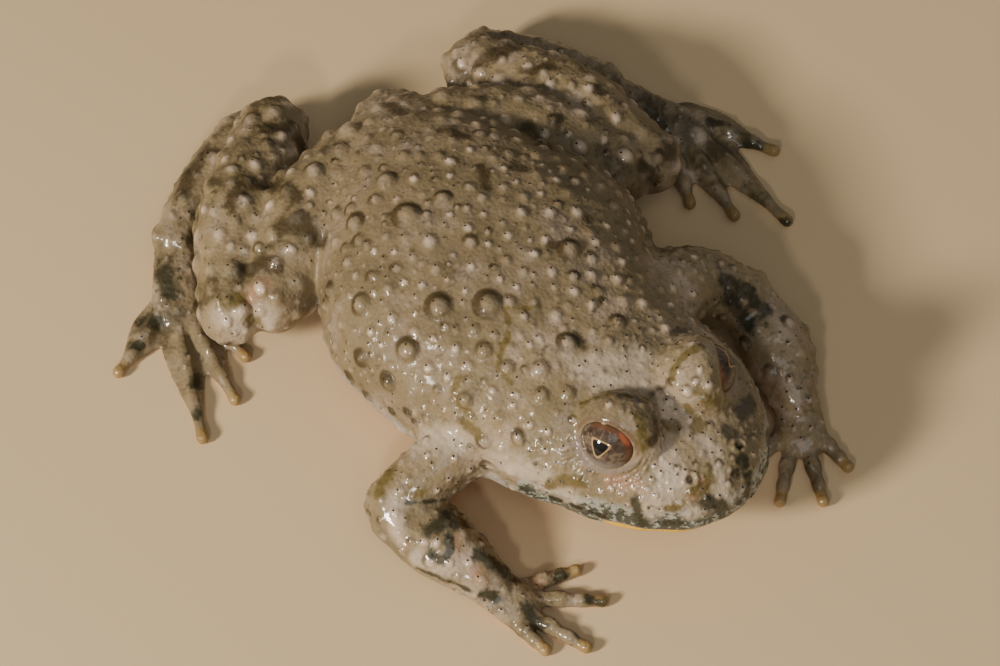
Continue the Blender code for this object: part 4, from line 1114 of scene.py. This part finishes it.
def wet_toad_skin():
    """Living toad skin, wet: warm tan with olive and dark green marks under a clear water film.

    The film gives the eye small sharp highlights on the warts, the head, the arms and the feet, over
    a soft sheen of the skin. Pale pinkish crowns, dark rings and black gland pores pick out the
    warts, and the underside is yellow-orange clouded with slate.
    """
    material, tree, surface = new_material("wet_toad_skin")
    place = add(tree, "TexCoord").outputs["Object"]
    noise = {}
    for name, size in NOISES.items():
        noise[name] = add(tree, "TexNoise", {"Vector": place, "Scale": PER_MM / size, "Detail": 5.0,
                                             "Roughness": 0.58}).outputs["Fac"]
    field = {name: add(tree, "Attribute", attribute_name=name).outputs["Fac"] for name in (*FIELDS, *MARKS)}
    for name, patch, pattern in (("slate", "belly", "mottle"), ("jaw_speck", "jaw", "jaw_grain")):
        speckled = add(tree, "Math", {0: field[patch], 1: noise[pattern]}, operation="MULTIPLY")
        field[name] = speckled.outputs[0]
    # Distance in millimetres from the pore on the tailward shoulder of each wart
    wart = add(tree, "Attribute", attribute_name="wart").outputs["Vector"]
    offset = add(tree, "SeparateXYZ", {0: wart}).outputs
    ahead = add(tree, "Math", {0: offset[0], 1: PORE_AHEAD}, operation="SUBTRACT").outputs[0]
    shift = add(tree, "CombineXYZ", {0: ahead, 1: offset[1]}).outputs[0]
    apart = add(tree, "VectorMath", {0: shift}, operation="LENGTH").outputs["Value"]
    field["pore"] = add(tree, "Math", {0: apart, 1: offset[2]}, operation="MULTIPLY").outputs[0]
    # Lone pores: the middles of the cells whose random value is low
    dots = add(tree, "TexVoronoi", {"Vector": place, "Scale": PER_MM / LONE_PORES})
    cell = add(tree, "SeparateColor", {0: dots.outputs["Color"]}).outputs
    left_out = add(tree, "Math", {0: cell[0], 1: DOTTED_SHARE}, operation="GREATER_THAN").outputs[0]
    field["dot"] = add(tree, "Math", {0: dots.outputs["Distance"], 1: left_out}, operation="ADD").outputs[0]
    granules = add(tree, "TexVoronoi", {"Vector": place, "Scale": PER_MM / GRANULES}, feature="SMOOTH_F1")

    # Layers from the ground colour up: colour, field, noise that frays it and how much, then the
    # value where the layer starts, the value where it is full, and its cover there
    colour = linear("#7a6b50")
    for tint, value, fraying, amount, start, full, cover in (
            ("#645940", noise["cloud"], "mottle", 0.50, 0.50, 0.36, 0.6),
            ("#584d39", noise["mottle"], "speck", 0.25, 0.47, 0.70, 0.85),
            ("#988875", noise["cloud"], "mottle", 0.70, 0.46, 0.74, 0.9),
            ("#453b28", noise["fray"], "speck", 0.40, 0.54, 0.74, 0.75),
            # Darker over the back behind the head
            ("#584d39", field["darker_back"], "mottle", 0.40, 0.40, 1.10, 0.35),
            ("#98938a", field["flank"], "mottle", 0.60, 0.30, 0.95, 0.65),
            ("#8f6a50", field["orange"], "fray", 0.80, 0.20, 1.05, 0.7),
            ("#8e9087", field["jaw"], "fray", 0.70, 0.25, 0.80, 0.85),
            ("#2c3022", field["jaw_speck"], "speck", 0.20, 0.40, 0.49, 0.9),
            ("#3f3620", field["blotch"], "blotch", 1.00, 0.58, 0.72, 0.85),
            # Pale skin, with painted light on the left foot and a painted highlight on the knee
            ("#a29480", field["pale"], "fray", 1.00, 0.20, 0.95, 0.85),
            ("#8f7444", field["tip"], "fray", 0.50, 0.20, 0.90, 0.7),
            ("#cf8a24", field["belly"], "fray", 0.40, 0.35, 0.65, 1.0),
            ("#30363a", field["slate"], "fray", 0.30, 0.50, 0.60, 1.0),
            ("#c89a2c", field["lip"], "speck", 0.30, 0.35, 0.75, 1.0),
            ("#baa792", field["crown"], "fray", 0.40, 0.10, 1.10, 0.90),
            ("#3b301b", field["ring"], "fray", 0.40, 0.12, 0.75, 0.9),
            ("#574a23", field["olive"], "fray", 1.20, 0.24, 0.72, 0.85),
            ("#352b17", field["brown"], "fray", 1.10, 0.28, 0.78, 0.85),
            ("#272513", field["dark"], "fray", 1.30, 0.28, 0.76, 0.92),
            ("#4f3526", field["upper_lid"], "speck", 0.40, 0.30, 0.90, 0.7),
            ("#74655e", field["lower_lid"], "speck", 0.40, 0.30, 0.90, 0.8),
            ("#1d1710", field["pore"], "speck", 0.04, 0.115, 0.060, 1.0),
            ("#241c12", field["dot"], "speck", 0.04, 0.080, 0.045, 1.0),
            # Painted shade in the mouth's slit and in the nostrils
            ("#150e09", field["hollow"], "speck", 0.20, 0.20, 0.70, 1.0),
    ):
        frayed = add(tree, "Math", {0: noise[fraying], 1: amount, 2: value}, operation="MULTIPLY_ADD")
        ends = {"From Min": start + amount / 2, "From Max": full + amount / 2, "To Max": cover}
        mask = add(tree, "MapRange", {"Value": frayed.outputs[0], **ends},
                   interpolation_type="SMOOTHSTEP").outputs["Result"]
        colour = add(tree, "Mix", {0: mask, 6: colour, 7: linear(tint)}, data_type="RGBA").outputs[2]

    height = granules.outputs["Distance"]
    lumps = add(tree, "Bump", {"Strength": 0.75, "Distance": 0.08 * MM, "Height": height}, invert=True)
    fine = add(tree, "Bump", {"Strength": 0.4, "Distance": 0.03 * MM, "Height": noise["grain"],
                              "Normal": lumps.outputs["Normal"]})
    film = add(tree, "Bump", {"Strength": 0.20, "Distance": 0.04 * MM, "Height": height}, invert=True)
    sheen = add(tree, "MapRange", {"Value": noise["mottle"], "To Min": 0.46, "To Max": 0.62})
    film_depth = add(tree, "MapRange", {"Value": field["film"], "To Min": 0.12, "To Max": 0.95})
    tree.links.new(colour, surface.inputs["Base Color"])
    tree.links.new(sheen.outputs["Result"], surface.inputs["Roughness"])
    tree.links.new(film_depth.outputs["Result"], surface.inputs["Coat Weight"])
    tree.links.new(fine.outputs["Normal"], surface.inputs["Normal"])
    tree.links.new(film.outputs["Normal"], surface.inputs["Coat Normal"])
    # Skin is 1.38. The film starts from water's 1.33, and 1.5 matches the strength of its glints
    surface.inputs["IOR"].default_value = 1.38
    surface.inputs["Specular IOR Level"].default_value = 0.3
    surface.inputs["Coat Roughness"].default_value = 0.14
    surface.inputs["Coat IOR"].default_value = 1.5
    surface.inputs["Subsurface Weight"].default_value = 0.05
    surface.inputs["Subsurface Radius"].default_value = (1.0, 0.5, 0.3)
    surface.inputs["Subsurface Scale"].default_value = 0.6 * MM
    return material


def wet_toad_eye():
    """A live eye under a wet cornea: it gives the eye one sharp highlight over a brown-grey iris.

    The iris is marbled with pale flecks, red-orange along its upper edge, and the black pupil is a
    rounded triangle with a thin gold rim.
    """
    material, tree, surface = new_material("wet_toad_eye")
    iris = add(tree, "Attribute", attribute_name="iris").outputs["Vector"]
    parts = add(tree, "SeparateXYZ", {0: iris}).outputs
    # The pupil's outline is where the greatest of three outward distances from its middle is level
    middle = add(tree, "VectorMath", {0: iris, 1: (*PUPIL_MIDDLE, 0.0)}, operation="SUBTRACT").outputs[0]
    reach = 0.0
    for angle in PUPIL_SIDES:
        way = (math.cos(math.radians(angle)), math.sin(math.radians(angle)), 0)
        out = add(tree, "VectorMath", {0: middle, 1: way}, operation="DOT_PRODUCT").outputs["Value"]
        reach = add(tree, "Math", {0: reach, 1: out, 2: PUPIL_ROUNDING}, operation="SMOOTH_MAX").outputs[0]
    # 1 at the edge of the opening between the lids, which is an ellipse
    shares = tuple(1 / (EYE_RADIUS * math.sin(math.radians(half))) for half in OPENINGS[-1])
    scaled = add(tree, "VectorMath", {0: iris, 1: (*shares, 0.0)}, operation="MULTIPLY").outputs["Vector"]
    edge = add(tree, "VectorMath", {0: scaled}, operation="LENGTH").outputs["Value"]
    marble = add(tree, "TexNoise", {"Vector": iris, "Scale": IRIS_MARBLING, "Detail": 4.0,
                                    "Distortion": 0.8}).outputs["Fac"]
    flecks = add(tree, "TexNoise", {"Vector": iris, "Scale": IRIS_FLECKS, "Detail": 2.0}).outputs["Fac"]
    leaned = add(tree, "VectorMath", {0: iris, 1: RED_WAY}, operation="DOT_PRODUCT").outputs["Value"]
    upper = add(tree, "MapRange", {"Value": leaned, "From Min": -0.1, "From Max": 1.0},
                interpolation_type="SMOOTHSTEP").outputs["Result"]
    arc = add(tree, "MapRange", {"Value": edge, "From Min": 0.68, "From Max": 0.94},
              interpolation_type="SMOOTHSTEP").outputs["Result"]
    red = add(tree, "Math", {0: upper, 1: arc}, operation="MULTIPLY").outputs[0]
    # Distance from the middle of the bright stretch of the red arc
    apart = add(tree, "VectorMath", {0: iris, 1: RED_MIDDLE}, operation="DISTANCE").outputs["Value"]
    near = add(tree, "MapRange", {"Value": apart, "From Min": 1.0, "From Max": 0.2}).outputs["Result"]
    bright = add(tree, "Math", {0: near, 1: red}, operation="MULTIPLY").outputs[0]
    colour = linear("#42362c")
    for tint, value, start, full, cover in (
            ("#655848", marble, 0.48, 0.66, 0.75),
            ("#2b2119", marble, 0.47, 0.35, 0.8),
            ("#968670", flecks, 0.60, 0.74, 0.5),
            ("#78706a", parts[1], -0.50, -1.30, 0.80),
            ("#5c3c27", red, 0.05, 0.80, 0.8),
            ("#a1573b", bright, 0.25, 0.80, 0.75),
            ("#21160f", edge, 0.90, 1.03, 0.9),
            ("#a3865c", reach, 0.57, 0.51, 0.80),
            ("#040303", reach, 0.48, 0.42, 1.0),
    ):
        mask = add(tree, "MapRange", {"Value": value, "From Min": start, "From Max": full, "To Max": cover},
                   interpolation_type="SMOOTHSTEP").outputs["Result"]
        colour = add(tree, "Mix", {0: mask, 6: colour, 7: linear(tint)}, data_type="RGBA").outputs[2]
    tree.links.new(colour, surface.inputs["Base Color"])
    surface.inputs["Roughness"].default_value = 0.6
    surface.inputs["Specular IOR Level"].default_value = 0.1
    surface.inputs["Coat Weight"].default_value = 1.0
    surface.inputs["Coat Roughness"].default_value = 0.02
    surface.inputs["Coat IOR"].default_value = 1.38
    return material


def studio_floor():
    """Matt painted board: plain, pale and warm, with only a soft sheen at a low angle."""
    material, _, surface = new_material("pale_matt_board")
    surface.inputs["Base Color"].default_value = linear("#bea883")
    surface.inputs["Roughness"].default_value = 0.7
    return material


def add_light(name, azimuth, elevation, distance, size, power, colour):
    """A square soft light that faces the toad from an azimuth and elevation."""
    data = bpy.data.lights.new(name, "AREA")
    data.size = size * MM
    data.energy = power
    data.color = linear(colour)[:3]
    lamp = bpy.data.objects.new(name, data)
    turn, rise = math.radians(azimuth), math.radians(elevation)
    way = Vector((math.sin(turn) * math.cos(rise), -math.cos(turn) * math.cos(rise), math.sin(rise)))
    lamp.location = Vector(LOOK_AT * MM) + way * distance * MM
    lamp.rotation_euler = way.to_track_quat("Z", "Y").to_euler()
    bpy.context.scene.collection.objects.link(lamp)


def add_studio():
    """Floor, lights, dim world and the camera."""
    corners = FLOOR_HALF * np.array([(-1, -1, 0), (1, -1, 0), (1, 1, 0), (-1, 1, 0)])
    floor = put_mesh("floor", corners, [(0, 1, 2, 3)])
    floor.location.z = -FLOOR_GAP * MM
    floor.data.materials.append(studio_floor())
    for light in LIGHTS:
        add_light(*light)
    world = bpy.data.worlds.new("studio")
    bpy.context.scene.world = world
    world.use_nodes = True
    backdrop = world.node_tree.nodes["Background"].inputs
    backdrop["Color"].default_value = linear("#e6e2da")
    backdrop["Strength"].default_value = WORLD_STRENGTH
    _, _, back = view_axes()
    data = bpy.data.cameras.new("camera")
    data.lens = LENS
    data.sensor_width = SENSOR
    data.clip_start = 0.01
    camera = bpy.data.objects.new("camera", data)
    camera.location = Vector((LOOK_AT + back * CAMERA_DISTANCE) * MM)
    camera.rotation_euler = Vector(back).to_track_quat("Z", "Y").to_euler()
    bpy.context.scene.collection.objects.link(camera)
    bpy.context.scene.camera = camera


skin = make_skin()
skin.data.materials.append(wet_toad_skin())
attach(skin, "root")
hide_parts(*[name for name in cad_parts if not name.startswith("eye_")])

eye_material = wet_toad_eye()
for node, side in (("eye_L", 1), ("eye_R", -1)):
    eye = make_eye(node.replace("eye", "eyeball"), side)
    eye.data.materials.append(eye_material)
    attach(eye, "root")
    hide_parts(node)

add_studio()
